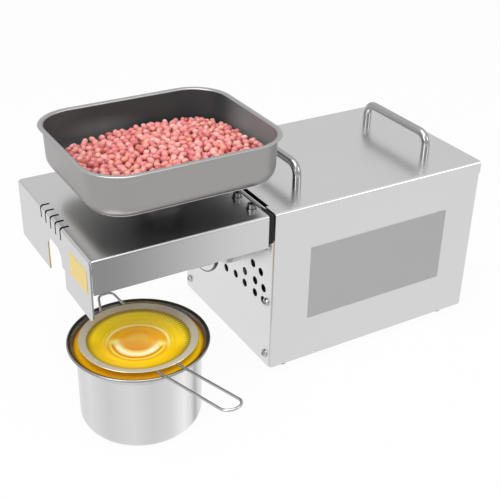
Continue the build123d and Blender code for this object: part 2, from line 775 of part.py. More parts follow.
# motor: a round can with cooling windows, its shaft and the fan behind it
can_front = case_back + 8
can_back = can_front + motor_length
with BuildPart() as motor_can:
    rod(can_front, can_back, motor_y, motor_z, motor_radius)
    fillet(motor_can.edges().filter_by(GeomType.CIRCLE), 3)
    with BuildSketch(along_x(can_back - 3, motor_y, motor_z)):
        with PolarLocations(24, 8):
            SlotOverall(13, 5, rotation=90)
        Circle(5)
    extrude(amount=6, mode=Mode.SUBTRACT)
    with BuildSketch(along_x(can_front - 1, motor_y, motor_z)):
        Circle(motor_shaft_radius + shaft_fit)
    extrude(amount=motor_length + 2, mode=Mode.SUBTRACT)
save(motor_can.part, "motor_can")
with BuildPart() as motor_shaft:
    rod(left + 28, can_back + 12, motor_y, motor_z, motor_shaft_radius)
save(motor_shaft.part, "motor_shaft")
with BuildPart() as motor_fan:
    rod(can_back + 3, can_back + 11, motor_y, motor_z, fan_hub)
    rod(can_back + 9.5, can_back + 11, motor_y, motor_z, fan_radius)
    for i in range(fan_blades):
        hub = Plane.YZ * Pos(motor_y, motor_z, can_back + 6.5) * Rot(0, 0, 360 / fan_blades * i)
        with Locations(hub * Pos(20, 0, 0) * Rot(0, 0, 25)):
            Box(24, 1.4, 7)
    with BuildSketch(along_x(can_back, motor_y, motor_z)):
        Circle(motor_shaft_radius + shaft_fit)
    extrude(amount=20, mode=Mode.SUBTRACT)
save(motor_fan.part, "motor_fan")
with BuildPart() as motor_saddle:
    saddle_front = can_front + saddle_start
    box(saddle_front, saddle_front + saddle_length, motor_y - saddle_half, motor_y + saddle_half,
        low + sheet, motor_z - saddle_drop)
    with Locations(Plane.YZ * Pos(motor_y, motor_z, saddle_front + saddle_length / 2)):
        Cylinder(motor_radius + 0.05, 2 * saddle_length, mode=Mode.SUBTRACT)
save(motor_saddle.part, "motor_saddle")

# control board with its relay, transformer and capacitor, on four posts over the base plate
board_x = right - board_from_back
board_y = far - board_from_far
board_z = low + sheet + board_post
with BuildPart() as board:
    box(board_x, board_x + board_length, board_y, board_y + board_width, board_z, board_z + board_thick)
    for x in (board_x + post_inset, board_x + board_length - post_inset):
        for y in (board_y + post_inset, board_y + board_width - post_inset):
            with Locations((x, y, board_z + 0.1)):
                Cylinder(post_radius, board_post + 0.1, align=(Align.CENTER, Align.CENTER, Align.MAX))
save(board.part, "control_board")
with BuildPart() as components:
    floor = board_z + board_thick
    box(board_x + 6, board_x + 24, board_y + 9, board_y + 25, floor, floor + 15)
    box(board_x + 30, board_x + 50, board_y + 8, board_y + 23, floor, floor + 18)
    with Locations((board_x + 16, board_y + 34, floor), (board_x + 30, board_y + 33, floor)):
        Cylinder(5, 16, align=standing)
save(components.part, "board_components")

# two rocker switches in the rear panel: heating on the far side, drive with a middle stop nearer
pivot_x = right + sheet + bezel - 0.5
with BuildPart() as switch_frames:
    for y in switch_places:
        box(right + sheet, right + sheet + bezel, near + y - 9, near + y + 9,
            switch_z - 15.5, switch_z + 15.5)
        box(right - 18, right + sheet + 0.1, near + y - 6.7, near + y + 6.7, switch_z - 13.2, switch_z + 13.2)
        box(pivot_x - 13.5, pivot_x + 5, near + y - 5.4, near + y + 5.4, switch_z - 12.6, switch_z + 12.6,
            Mode.SUBTRACT)
save(switch_frames.part, "switch_frames")


def rocker(y, tilt):
    # a rocker paddle: two shallow faces meeting over the pivot, with a round belly beneath
    with BuildPart() as one:
        with BuildSketch(Plane.XZ):
            with BuildLine():
                Polyline((0, rocker_half), (rocker_tip, rocker_half), (0.6, 0), (rocker_tip, -rocker_half),
                         (0, -rocker_half))
                ThreePointArc((0, -rocker_half), (-rocker_half, 0), (0, rocker_half))
            make_face()
        extrude(amount=5.1, both=True)
    return Pos(pivot_x, near + y, switch_z) * Rot(0, tilt, 0) * one.part


save(rocker(switch_places[1], rocker_throw), "heat_rocker")
save(rocker(switch_places[0], 0), "drive_rocker")

# mains inlet with three blades, and the fuse holder
with BuildPart() as inlet:
    box(right + sheet, right + sheet + bezel, near + inlet_y - 20, near + inlet_y + 20, inlet_z - 12.5,
        inlet_z + 12.5)
    box(right - 16, right + sheet + 0.1, near + inlet_y - 13.6, near + inlet_y + 13.6,
        inlet_z - 10, inlet_z + 10)
    box(right - 12, right + sheet + 5, near + inlet_y - 12, near + inlet_y + 12, inlet_z - 8.2, inlet_z + 8.2,
        Mode.SUBTRACT)
    for dy, dz in blade_places:
        box(right - 20, right, near + inlet_y + dy - 1.1, near + inlet_y + dy + 1.1, inlet_z + dz - 2.1,
            inlet_z + dz + 2.1, Mode.SUBTRACT)
save(inlet.part, "mains_inlet")
with BuildPart() as blades:
    for dy, dz in blade_places:
        box(right - 22, right - 1, near + inlet_y + dy - 1, near + inlet_y + dy + 1, inlet_z + dz - 2,
            inlet_z + dz + 2)
save(blades.part, "inlet_blades")
with BuildPart() as fuse:
    rod(right - 22, right + sheet, near + fuse_y, inlet_z, fuse_radius)
    rod(right + sheet, right + sheet + bezel + 1, near + fuse_y, inlet_z, fuse_radius + 2)
    box(right + sheet + bezel - 0.2, right + sheet + bezel + 3, near + fuse_y - 5, near + fuse_y + 5,
        inlet_z - 0.6, inlet_z + 0.6, Mode.SUBTRACT)
save(fuse.part, "fuse_holder")

# feed pan: a deep-drawn tray with a flat turned-out lip and a spout that drops into the feed neck
pan_x = left - pan_offset
pan_rim = low + pan_top
pan_floor = pan_rim - pan_depth
lean = 180 / pi * asin(pan_taper / pan_depth)


def pan_body(inset, floor, height):
    # the pan's bowl, narrowing towards a floor with a big round edge
    with BuildPart() as bowl:
        grow = inset - (height - pan_rim) * tan(radians(lean))
        back = pan_lip + grow
        with BuildSketch(Plane(origin=(pan_x, pan_y, height), z_dir=(0, 0, -1))):
            RectangleRounded(pan_length - 2 * back, pan_width - 2 * back, pan_corner - back)
        extrude(amount=height - floor, taper=lean)
        fillet(bowl.faces().sort_by(Axis.Z)[0].edges(), pan_floor_radius - inset)
    return bowl.part


pan_y = chamber_y
pan_outside = pan_body(0, pan_floor, pan_rim)
pan_inside = pan_body(pan_wall, pan_floor + pan_wall, pan_rim + 2)
spout_length = pan_floor + pan_wall - low - spout_end
with BuildPart() as pan:
    with BuildSketch(Plane.XY.offset(pan_rim - pan_wall)):
        with Locations((pan_x, pan_y)):
            RectangleRounded(pan_length, pan_width, pan_corner)
    extrude(amount=pan_wall)
    add(pan_outside)
    add(pan_inside, mode=Mode.SUBTRACT)
    with Locations((left - feed_x, chamber_y, 0)):
        with Locations((0, 0, low + spout_end)):
            Cylinder(spout_radius, spout_length, align=standing)
        with Locations((0, 0, top + neck_rise)):
            Cylinder(neck_radius + 4, 4, align=standing)
        with Locations((0, 0, low + spout_end - 1)):
            Cylinder(spout_radius - 1.5, 60, align=standing, mode=Mode.SUBTRACT)
save(pan.part, "feed_pan")

# seeds: a loose heap that covers the pan's floor, banked up gently towards the near side
heap_floor = pan_floor + pan_wall
heap_room = pan_body(pan_wall + heap_gap, heap_floor + heap_gap / 2, pan_rim)
with BuildPart() as seeds:
    add(heap_room)
    with Locations((pan_x + heap_aside[0], pan_y + heap_aside[1], heap_floor + heap_peak - heap_ball)):
        Sphere(heap_ball, rotation=(90, 0, 0), mode=Mode.INTERSECT)
save(seeds.part, "seed_heap")

# pot: a spun cup with a flared mouth and a rolled bead round the rim
pot_cx, pot_cy = left - pot_x, near + pot_y
flare = pot_height - pot_flare
bead = pot_bead
with BuildPart() as pot:
    with BuildSketch(Plane(origin=(pot_cx, pot_cy, 0), x_dir=(1, 0, 0), z_dir=(0, -1, 0))) as wall:
        with BuildLine():
            Polyline((0, 0), (pot_body - pot_floor_radius, 0))
            ThreePointArc((pot_body - pot_floor_radius, 0),
                          (pot_body - pot_floor_radius * 0.293, pot_floor_radius * 0.293),
                          (pot_body, pot_floor_radius))
            Polyline((pot_body, pot_floor_radius), (pot_body, flare), (pot_rim - 2 * bead, pot_height - bead),
                     (pot_rim - 2 * bead - pot_wall, pot_height - bead), (pot_body - pot_wall, flare),
                     (pot_body - pot_wall, pot_floor_radius))
            inner = pot_floor_radius - pot_wall
            ThreePointArc((pot_body - pot_wall, pot_floor_radius),
                          (pot_body - pot_wall - inner * 0.293, pot_wall + inner * 0.293),
                          (pot_body - pot_floor_radius, pot_wall))
            Polyline((pot_body - pot_floor_radius, pot_wall), (0, pot_wall), (0, 0))
        make_face()
        with Locations((pot_rim - bead, pot_height - bead)):
            Circle(bead)
        with Locations((pot_rim - 2 * bead, pot_height - bead)):
            Rectangle(2 * bead, bead)
    revolve(axis=Axis(origin=(pot_cx, pot_cy, 0), direction=(0, 0, 1)))
save(pot.part, "pot")

# strainer: a sloping band, a bowl of fine mesh, a wire handle and a wire ear that hooks over the rim
band_z = pot_height + strainer_lift
mesh_z = band_z - band_drop
mesh_ball = (strainer_inner ** 2 + strainer_depth ** 2) / (2 * strainer_depth)
ball_z = mesh_z - strainer_depth + mesh_ball
spin = Axis(origin=(pot_cx, pot_cy, 0), direction=(0, 0, 1))
upright_plane = Plane(origin=(pot_cx, pot_cy, 0), x_dir=(1, 0, 0), z_dir=(0, -1, 0))


def ball_slice(radius, z):
    # how wide a ball about the mesh's centre is at a height
    return sqrt(radius ** 2 - (ball_z - z) ** 2)


with BuildPart() as band:
    with BuildSketch(upright_plane):
        with BuildLine():
            Polyline((strainer_inner, mesh_z), (strainer_rim, band_z - band_thick), (strainer_rim, band_z),
                     (strainer_inner, mesh_z + band_thick), close=True)
        make_face()
    revolve(axis=spin)
save(band.part, "strainer_band")

with BuildPart() as mesh:
    with BuildSketch(upright_plane):
        low_z = ball_z - mesh_ball
        rim_r = ball_slice(mesh_ball, mesh_z - 0.1)
        with BuildLine():
            a = (mesh_ball * sin(radians(30)), ball_z - mesh_ball * cos(radians(30)))
            inside = mesh_ball - mesh_skin
            b = (inside * sin(radians(30)), ball_z - inside * cos(radians(30)))
            ThreePointArc((0, low_z), a, (rim_r, mesh_z - 0.1))
            Line((rim_r, mesh_z - 0.1), (ball_slice(inside, mesh_z - 0.1), mesh_z - 0.1))
            ThreePointArc((ball_slice(inside, mesh_z - 0.1), mesh_z - 0.1), b, (0, low_z + mesh_skin))
            Line((0, low_z + mesh_skin), (0, low_z))
        make_face()
    revolve(axis=spin)
save(mesh.part, "strainer_mesh")


def wire_start_at(across):
    # how far out a wire begins that meets the band this far from the line through its middle
    return sqrt(strainer_rim ** 2 - (abs(across) - wire) ** 2) + wire_start


def wire_loop(turn, end, tilt, base, tip, corner, aside=0.0):
    # a wire that leaves the band, runs out, turns back in a rounded loop and returns
    place = Pos(pot_cx, pot_cy, band_z - wire_sink) * Rot(0, 0, turn) * Pos(0, aside, 0)
    plane = Plane(place * Pos(strainer_rim, 0, 0) * Rot(0, -tilt, 0) * Pos(-strainer_rim, 0, 0))
    first = (wire_start_at(aside + base), base)
    last = (wire_start_at(aside - base), -base)
    with BuildPart() as loop:
        with BuildLine(plane) as route:
            FilletPolyline(first, (end, tip), (end, -tip), last, radius=corner)
        with BuildSketch(Plane(origin=route.line @ 0, z_dir=route.line % 0)):
            Circle(wire)
        sweep(path=route.line)
    return loop.part


handle_loop = wire_loop(handle_turn - 90, handle_reach_out, handle_tilt, wire_gap, wire_gap, loop_corner,
                        handle_aside)
ear_loop = wire_loop(ear_turn, strainer_rim + ear_reach, ear_tilt, ear_base, ear_tip, ear_corner)
with BuildPart() as strainer_wire:
    add(handle_loop)
    add(ear_loop)
save(strainer_wire.part, "strainer_wire")

# oil caught in the strainer and in the pot round it
with BuildPart() as strainer_oil:
    with BuildSketch(upright_plane):
        with BuildLine():
            inside = mesh_ball - mesh_skin - bowl_oil_gap
            level = mesh_z - bowl_oil_drop
            c = (inside * sin(radians(30)), ball_z - inside * cos(radians(30)))
            ThreePointArc((0, ball_z - inside), c, (ball_slice(inside, level), level))
            Polyline((ball_slice(inside, level), level), (0, level), (0, ball_z - inside))
        make_face()
    revolve(axis=spin)
save(strainer_oil.part, "strainer_oil")
with BuildPart() as pot_oil:
    with BuildSketch(upright_plane):
        with BuildLine():
            clear = mesh_ball + pot_oil_gap
            lean_out = (pot_rim - 2 * bead - pot_body) / (pot_height - bead - flare)
            skin = pot_wall + bowl_oil_gap
            level_r = pot_body - skin + (pot_oil_level - flare) * lean_out
            dish = (clear * sin(radians(20)), ball_z - clear * cos(radians(20)))
            Polyline((ball_slice(clear, pot_oil_level), pot_oil_level), (level_r, pot_oil_level),
                     (pot_body - skin, flare), (pot_body - skin, pot_floor_radius),
                     (pot_body - pot_floor_radius, skin), (0, skin), (0, ball_z - clear))
            ThreePointArc((0, ball_z - clear), dish, (ball_slice(clear, pot_oil_level), pot_oil_level))
        make_face()
    revolve(axis=spin)
save(pot_oil.part, "pot_oil")
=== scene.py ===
# The look of a table-top screw press for seeds, dressed over its solid model. Lengths are in metres.
import math

import bpy
import bmesh
from mathutils import Matrix, Vector


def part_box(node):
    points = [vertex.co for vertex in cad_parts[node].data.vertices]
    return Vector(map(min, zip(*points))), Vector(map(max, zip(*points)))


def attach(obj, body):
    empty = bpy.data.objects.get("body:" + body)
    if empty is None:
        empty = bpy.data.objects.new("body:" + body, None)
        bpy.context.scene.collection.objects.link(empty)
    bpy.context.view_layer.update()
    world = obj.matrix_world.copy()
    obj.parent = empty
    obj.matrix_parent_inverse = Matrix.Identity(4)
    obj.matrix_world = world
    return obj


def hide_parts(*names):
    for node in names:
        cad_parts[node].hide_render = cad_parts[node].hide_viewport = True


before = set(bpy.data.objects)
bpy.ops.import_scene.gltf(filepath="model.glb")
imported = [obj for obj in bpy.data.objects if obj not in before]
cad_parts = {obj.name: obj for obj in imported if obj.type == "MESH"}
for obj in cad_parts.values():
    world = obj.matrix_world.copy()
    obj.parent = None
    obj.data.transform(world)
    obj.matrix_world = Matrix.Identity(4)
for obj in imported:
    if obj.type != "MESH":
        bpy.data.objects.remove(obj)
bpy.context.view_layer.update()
mm = 0.001

# where the main pieces stand, read from the solid model
coverLow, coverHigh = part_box("cover")
hoodLow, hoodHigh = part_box("hood")
discLow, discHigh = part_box("barrel_disc")
panLow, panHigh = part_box("feed_pan")
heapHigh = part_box("seed_heap")[1]
potLow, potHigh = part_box("pot")
bandLow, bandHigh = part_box("strainer_band")
meshLow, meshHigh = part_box("strainer_mesh")
potOilLow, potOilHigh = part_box("pot_oil")
panCentre = Vector(((panLow.x + panHigh.x) / 2, (panLow.y + panHigh.y) / 2, 0))
potCentre = Vector(((potLow.x + potHigh.x) / 2, (potLow.y + potHigh.y) / 2, 0))

scene = bpy.context.scene
scene.view_settings.view_transform = "Standard"

# camera: where the photographer stood, measured from the housing's near lower corner beside the hood
cameraPlace = {
    "fromCorner": Vector((-389.4, -604.9, 541.5)) * mm,
    "yaw": 31.34,
    "pitch": 29.86,
    "roll": 1.51,
    "focalPixels": 951.9,
    "centrePixel": (254.2, 248.6),
    "framePixels": 500,
    "sensor": 36.0,
    "clip": (0.01, 50.0),
}


def makeCamera():
    pixels, centre = cameraPlace["framePixels"], cameraPlace["centrePixel"]
    data = bpy.data.cameras.new("camera")
    data.sensor_width = cameraPlace["sensor"]
    data.lens = cameraPlace["focalPixels"] / pixels * cameraPlace["sensor"]
    data.shift_x = (pixels / 2 - centre[0]) / pixels
    data.shift_y = (centre[1] - pixels / 2) / pixels
    data.clip_start, data.clip_end = cameraPlace["clip"]
    yaw, pitch, roll = (math.radians(cameraPlace[k]) for k in ("yaw", "pitch", "roll"))
    forward = Vector((math.sin(yaw) * math.cos(pitch), math.cos(yaw) * math.cos(pitch), -math.sin(pitch)))
    flat = Vector((math.cos(yaw), -math.sin(yaw), 0))
    above = flat.cross(forward)
    right = math.cos(roll) * flat + math.sin(roll) * above
    up = -math.sin(roll) * flat + math.cos(roll) * above
    camera = bpy.data.objects.new("camera", data)
    turn = Matrix((right, up, -forward)).transposed()
    camera.matrix_world = Matrix.Translation(coverLow + cameraPlace["fromCorner"]) @ turn.to_4x4()
    scene.collection.objects.link(camera)
    scene.camera = camera


makeCamera()
print("camera placed")


# ways of building node trees
def feed(tree, node, inputs):
    # links each input that is given a socket, and sets the others; colours are given without alpha
    for name, value in inputs.items():
        socket = node.inputs[name]
        if isinstance(value, bpy.types.NodeSocket):
            tree.links.new(value, socket)
        elif socket.type == "RGBA":
            socket.default_value = (*value, 1)
        else:
            socket.default_value = value


def addNode(tree, kind, inputs=None, **settings):
    node = tree.nodes.new(kind)
    for name, value in settings.items():
        setattr(node, name, value)
    feed(tree, node, inputs or {})
    return node


def mathNode(tree, operation, *values):
    return addNode(tree, "ShaderNodeMath", dict(enumerate(values)), operation=operation).outputs[0]


def squareNode(tree, value):
    return mathNode(tree, "MULTIPLY", value, value)


def vectorNode(tree, operation, *values):
    node = addNode(tree, "ShaderNodeVectorMath", dict(enumerate(values)), operation=operation)
    return node.outputs["Value" if operation in ("DOT_PRODUCT", "LENGTH") else "Vector"]


def splitNode(tree, vector):
    return addNode(tree, "ShaderNodeSeparateXYZ", {0: vector}).outputs


def joinNode(tree, x, y, z):
    return addNode(tree, "ShaderNodeCombineXYZ", {0: x, 1: y, 2: z}).outputs[0]


def objectPlace(tree):
    return addNode(tree, "ShaderNodeTexCoord").outputs["Object"]


def noise(tree, place, scale, detail=2.0):
    return addNode(tree, "ShaderNodeTexNoise", {"Vector": place, "Scale": scale, "Detail": detail}).outputs[0]


def mixNode(tree, factor, first, second, blend="MIX"):
    inputs = {"Factor": factor, "A": first, "B": second}
    return addNode(tree, "ShaderNodeMix", inputs, data_type="RGBA", blend_type=blend).outputs["Result"]


def rangeNode(tree, value, low, high, start=0.0, end=1.0, kind="SMOOTHSTEP"):
    # while the value goes from low to high, the result goes from start to end
    inputs = {"Value": value, "From Min": low, "From Max": high, "To Min": start, "To Max": end}
    return addNode(tree, "ShaderNodeMapRange", inputs, interpolation_type=kind).outputs[0]


def colourRamp(tree, value, stops):
    # stops are a position and a colour each
    ramp = addNode(tree, "ShaderNodeValToRGB", {0: value})
    elements = ramp.color_ramp.elements
    for element, (position, colour) in zip(elements, (stops[0], stops[-1])):
        element.position, element.color = position, (*colour, 1)
    for position, colour in stops[1:-1]:
        elements.new(position).color = (*colour, 1)
    return ramp.outputs[0]


def newTree(kind, name, inputs, outputs):
    # inputs are a label, a kind of socket and a value each, outputs a label and a kind
    tree = bpy.data.node_groups.new(name, kind)
    for label, socketKind, value in inputs:
        socket = tree.interface.new_socket(label, in_out="INPUT", socket_type="NodeSocket" + socketKind)
        if value is not None:
            socket.default_value = value
    for label, socketKind in outputs:
        tree.interface.new_socket(label, in_out="OUTPUT", socket_type="NodeSocket" + socketKind)
    return tree, tree.nodes.new("NodeGroupInput").outputs, tree.nodes.new("NodeGroupOutput")


# studio: soft lamps over a white sweep
studio = {
    "worldFill": 0.55,
    "skyBottom": -0.2,
    "skyTop": 0.9,
    "skyLow": 0.62,
    "skyHigh": 1.0,
    "floorSize": 6.0,
    "floorDrop": 0.4 * mm,
    "floorColour": (0.86, 0.86, 0.86),
    "floorRough": 0.9,
    "floorWhite": 0.955,
    "lamps": {
        "overhead": {"at": (-0.3, -0.2, 1.5), "aim": (0.0, 0.0, 0.1), "size": 1.4, "power": 13},
        "leftWindow": {"at": (-1.3, -0.5, 0.8), "aim": (0.0, 0.0, 0.1), "size": 0.9, "power": 6},
        "rightFill": {"at": (1.1, -1.1, 0.9), "aim": (0.1, 0.0, 0.1), "size": 0.8, "power": 4},
    },
}


def makeWorld():
    world = bpy.data.worlds.new("studioSky")
    scene.world = world
    world.use_nodes = True
    tree = world.node_tree
    tree.nodes.clear()
    rays = addNode(tree, "ShaderNodeLightPath").outputs
    looking = mathNode(tree, "MAXIMUM", rays["Is Camera Ray"], rays["Is Glossy Ray"])
    looking = mathNode(tree, "MAXIMUM", looking, rays["Is Transmission Ray"])
    # metal shows a sky that is bright overhead and greyer towards the ground; the camera sees plain white
    height = splitNode(tree, addNode(tree, "ShaderNodeTexCoord").outputs["Generated"])["Z"]
    level = rangeNode(tree, height, studio["skyBottom"], studio["skyTop"], studio["skyLow"],
                      studio["skyHigh"], "LINEAR")
    grey = addNode(tree, "ShaderNodeCombineColor", {channel: level for channel in range(3)})
    white = mixNode(tree, rays["Is Camera Ray"], grey.outputs[0], (1, 1, 1))
    fill = addNode(tree, "ShaderNodeBackground", {"Strength": studio["worldFill"]})
    seen = addNode(tree, "ShaderNodeBackground", {"Color": white})
    mix = addNode(tree, "ShaderNodeMixShader", {0: looking, 1: fill.outputs[0], 2: seen.outputs[0]})
    addNode(tree, "ShaderNodeOutputWorld", {0: mix.outputs[0]})


def makeFloor():
    half = studio["floorSize"] / 2
    mesh = bpy.data.meshes.new("studioFloor")
    corners = [(-half, -half, 0), (half, -half, 0), (half, half, 0), (-half, half, 0)]
    mesh.from_pydata(corners, [], [(0, 1, 2, 3)])
    floor = bpy.data.objects.new("studioFloor", mesh)
    floor.location.z = -studio["floorDrop"]
    scene.collection.objects.link(floor)
    material = bpy.data.materials.new("sweepPaper")
    material.use_nodes = True
    tree = material.node_tree
    tree.nodes.clear()
    paper = addNode(tree, "ShaderNodeBsdfPrincipled",
                    {"Base Color": studio["floorColour"], "Roughness": studio["floorRough"]})
    glow = addNode(tree, "ShaderNodeEmission", {"Strength": 1.0})
    rays = addNode(tree, "ShaderNodeLightPath").outputs
    looking = mathNode(tree, "MAXIMUM", rays["Is Camera Ray"], rays["Is Glossy Ray"])
    amount = mathNode(tree, "MULTIPLY", looking, studio["floorWhite"])
    mix = addNode(tree, "ShaderNodeMixShader", {0: amount, 1: paper.outputs[0], 2: glow.outputs[0]})
    addNode(tree, "ShaderNodeOutputMaterial", {0: mix.outputs[0]})
    mesh.materials.append(material)


def makeLamps():
    for name, lamp in studio["lamps"].items():
        data = bpy.data.lights.new(name, "AREA")
        data.shape = "DISK"
        data.size = lamp["size"]
        data.energy = lamp["power"]
        place = bpy.data.objects.new(name, data)
        place.location = lamp["at"]
        away = Vector(lamp["at"]) - Vector(lamp["aim"])
        place.rotation_euler = away.to_track_quat("Z", "Y").to_euler()
        scene.collection.objects.link(place)


makeWorld()
makeFloor()
makeLamps()
print("studio lit")

# shader groups used by several finishes
grainOutputs = [("Roughness", "Float"), ("Height", "Float"), ("Shade", "Float")]
maskOutputs = [("Mask", "Float")]


def makeBrushGroup():
    # fine parallel scratches along one axis, with broad soft patches under them
    group, given, end = newTree("ShaderNodeTree", "brushedGrain", [
        ("Stretch", "Vector", (8.0, 900.0, 900.0)), ("Patch Scale", "Float", 7.0),
        ("Patch Share", "Float", 0.6), ("Base Rough", "Float", 0.3),
        ("Rough Swing", "Float", 0.12)], grainOutputs)
    place = objectPlace(group)
    scratches = noise(group, vectorNode(group, "MULTIPLY", place, given["Stretch"]), 1.0, 3.0)
    patches = noise(group, place, given["Patch Scale"])
    swing = mathNode(group, "SUBTRACT", scratches, 0.5)
    patchSwing = mathNode(group, "SUBTRACT", patches, 0.5)
    both = mathNode(group, "MULTIPLY_ADD", patchSwing, given["Patch Share"], swing)
    rough = mathNode(group, "MULTIPLY_ADD", both, given["Rough Swing"], given["Base Rough"])
    feed(group, end, {"Roughness": rough, "Height": scratches, "Shade": mathNode(group, "ADD", both, 0.5)})
    return group


def makeGrainGroup():
    # small irregular grain of moulded plastic, rubber, cast metal, skin and paint
    group, given, end = newTree("ShaderNodeTree", "mouldedGrain", [
        ("Scale", "Float", 900.0), ("Broad Scale", "Float", 22.0), ("Base Rough", "Float", 0.5),
        ("Rough Swing", "Float", 0.15)], grainOutputs)
    place = objectPlace(group)
    grain = noise(group, place, given["Scale"], 4.0)
    broad = noise(group, place, given["Broad Scale"])
    swing = mathNode(group, "SUBTRACT", broad, 0.5)
    rough = mathNode(group, "MULTIPLY_ADD", swing, given["Rough Swing"], given["Base Rough"])
    feed(group, end, {"Roughness": rough, "Height": grain, "Shade": broad})
    return group


def makeSlopeGroup():
    # a mask that rises along a direction, from where it starts to where it is full
    group, given, end = newTree("ShaderNodeTree", "slopeMask", [
        ("Direction", "Vector", (1.0, 0.0, 0.0)), ("Start", "Float", 0.0),
        ("Full", "Float", 1.0)], maskOutputs)
    along = vectorNode(group, "DOT_PRODUCT", objectPlace(group), given["Direction"])
    feed(group, end, {"Mask": rangeNode(group, along, given["Start"], given["Full"])})
    return group


def makePatchGroup():
    # a round mask about a centre, full up to the inner distance and gone at the outer one
    group, given, end = newTree("ShaderNodeTree", "patchMask", [
        ("Centre", "Vector", (0.0, 0.0, 0.0)), ("Squeeze", "Vector", (1.0, 1.0, 1.0)),
        ("Inner", "Float", 0.0), ("Outer", "Float", 1.0)], maskOutputs)
    away = vectorNode(group, "SUBTRACT", objectPlace(group), given["Centre"])
    far = vectorNode(group, "LENGTH", vectorNode(group, "MULTIPLY", away, given["Squeeze"]))
    feed(group, end, {"Mask": rangeNode(group, far, given["Inner"], given["Outer"], 1.0, 0.0)})
    return group


brushGroup = makeBrushGroup()
grainGroup = makeGrainGroup()
slopeGroup = makeSlopeGroup()
patchGroup = makePatchGroup()


def groupNode(tree, group, inputs):
    return addNode(tree, "ShaderNodeGroup", inputs, node_tree=group).outputs


def slope(material, axis, start, full):
    # a mask along an axis, whichever of the two places comes first
    direction = [float(axis == name) for name in "xyz"]
    inputs = {"Direction": direction, "Start": start, "Full": full}
    return groupNode(material.node_tree, slopeGroup, inputs)["Mask"]


def patch(material, centre, squeeze, inner, outer):
    inputs = {"Centre": centre, "Squeeze": squeeze, "Inner": inner, "Outer": outer}
    return groupNode(material.node_tree, patchGroup, inputs)["Mask"]


def shaderOf(material):
    return material.node_tree.nodes["Principled BSDF"]


def recolour(material, factor, colour, blend="MIX"):
    # mixes a colour into the present base colour
    tree, shader = material.node_tree, shaderOf(material)
    present = shader.inputs["Base Color"].links[0].from_socket
    feed(tree, shader, {"Base Color": mixNode(tree, factor, present, colour, blend)})


def overlay(material, masks, colour):
    # lays a colour over the base colour where all the masks meet
    mask = masks[0]
    for other in masks[1:]:
        mask = mathNode(material.node_tree, "MULTIPLY", mask, other)
    recolour(material, mask, colour)


def newMaterial(name, group, settings):
    material = bpy.data.materials.new(name)
    material.use_nodes = True
    tree = material.node_tree
    return material, tree, shaderOf(material), groupNode(tree, group, settings)


def addRelief(tree, shader, height, strength, depth):
    relief = addNode(tree, "ShaderNodeBump", {"Strength": strength, "Distance": depth, "Height": height})
    feed(tree, shader, {"Normal": relief.outputs[0]})


def finishSurface(tree, shader, grain, tones, bump, depth):
    # colour between two tones, roughness and a fine bump, all from one pattern
    feed(tree, shader, {"Base Color": mixNode(tree, grain["Shade"], *tones), "Roughness": grain["Roughness"]})
    addRelief(tree, shader, grain["Height"], bump, depth)


grainAlong = {"x": (5.0, 480.0, 480.0), "y": (480.0, 5.0, 480.0), "ring": (50.0, 50.0, 700.0),
              "none": (90.0, 90.0, 90.0)}
reliefDepth = {"brushed": 0.1 * mm, "moulded": 0.2 * mm}


def brushedMetal(name, level, along, rough, swing, contrast, bump, tint=(1.0, 1.0, 1.0)):
    material, tree, shader, grain = newMaterial(
        name, brushGroup, {"Stretch": grainAlong[along], "Base Rough": rough, "Rough Swing": swing})
    feed(tree, shader, {"Metallic": 1.0})
    tones = [[min(1.0, level * (1 + change)) * t for t in tint] for change in (-contrast, contrast)]
    finishSurface(tree, shader, grain, tones, bump, reliefDepth["brushed"])
    return material


def moulded(name, colour, rough, scale, contrast, bump, metallic=0.0, coat=0.0):
    material, tree, shader, grain = newMaterial(name, grainGroup, {"Scale": scale, "Base Rough": rough})
    feed(tree, shader, {"Metallic": metallic, "Coat Weight": coat})
    tones = [[min(1.0, c * (1 + change)) for c in colour] for change in (-contrast, contrast)]
    finishSurface(tree, shader, grain, tones, bump, reliefDepth["moulded"])
    return material


# brushed metals: level of grey, grain, roughness, its swing, contrast, bump and, where it isn't grey, tint
metals = {
    "housingSteel": (0.66, "x", 0.25, 0.08, 0.03, 0.02),
    "endSteel": (0.74, "y", 0.30, 0.08, 0.03, 0.02),
    "hoodSteel": (0.62, "x", 0.25, 0.04, 0.012, 0.005),
    "barSteel": (0.40, "none", 0.15, 0.05, 0.03, 0.0),
    "screwSteel": (0.52, "none", 0.22, 0.08, 0.08, 0.02),
    "boltSteel": (0.24, "none", 0.26, 0.08, 0.08, 0.02),
    "hingeSteel": (0.45, "y", 0.30, 0.08, 0.06, 0.02),
    "barrelSteel": (0.60, "ring", 0.28, 0.10, 0.06, 0.05),
    "discSteel": (0.72, "none", 0.26, 0.08, 0.04, 0.02),
    "workedSteel": (0.46, "ring", 0.34, 0.16, 0.14, 0.06),
    "heaterSteel": (0.48, "ring", 0.34, 0.16, 0.12, 0.06, (1.0, 0.95, 0.88)),
    "gearSteel": (0.44, "none", 0.32, 0.16, 0.14, 0.06),
    "bearingSteel": (0.70, "none", 0.16, 0.06, 0.04, 0.02),
    "panOutside": (0.345, "ring", 0.36, 0.06, 0.03, 0.02, (1.0, 0.972, 0.962)),
    # painted shade: the pan's underside is a darker copy of its steel, as it stands in shadow
    "panUnder": (0.12, "ring", 0.40, 0.06, 0.05, 0.02),
    # painted highlight: the pan's lip is a lighter copy of its steel
    "panLip": (0.44, "ring", 0.34, 0.06, 0.03, 0.02),
    "potSteel": (0.66, "ring", 0.22, 0.08, 0.02, 0.02),
    # painted shade: the pot's inside, its bead and the bead's outside are darker copies of its steel
    "potInside": (0.40, "ring", 0.26, 0.08, 0.05, 0.02),
    "potBead": (0.07, "ring", 0.25, 0.08, 0.05, 0.02),
    "beadOutside": (0.33, "ring", 0.24, 0.06, 0.04, 0.02),
    "wireSteel": (0.50, "none", 0.20, 0.06, 0.05, 0.0),
    "bladeBrass": (0.70, "x", 0.25, 0.10, 0.08, 0.02, (1.0, 0.82, 0.45)),
}
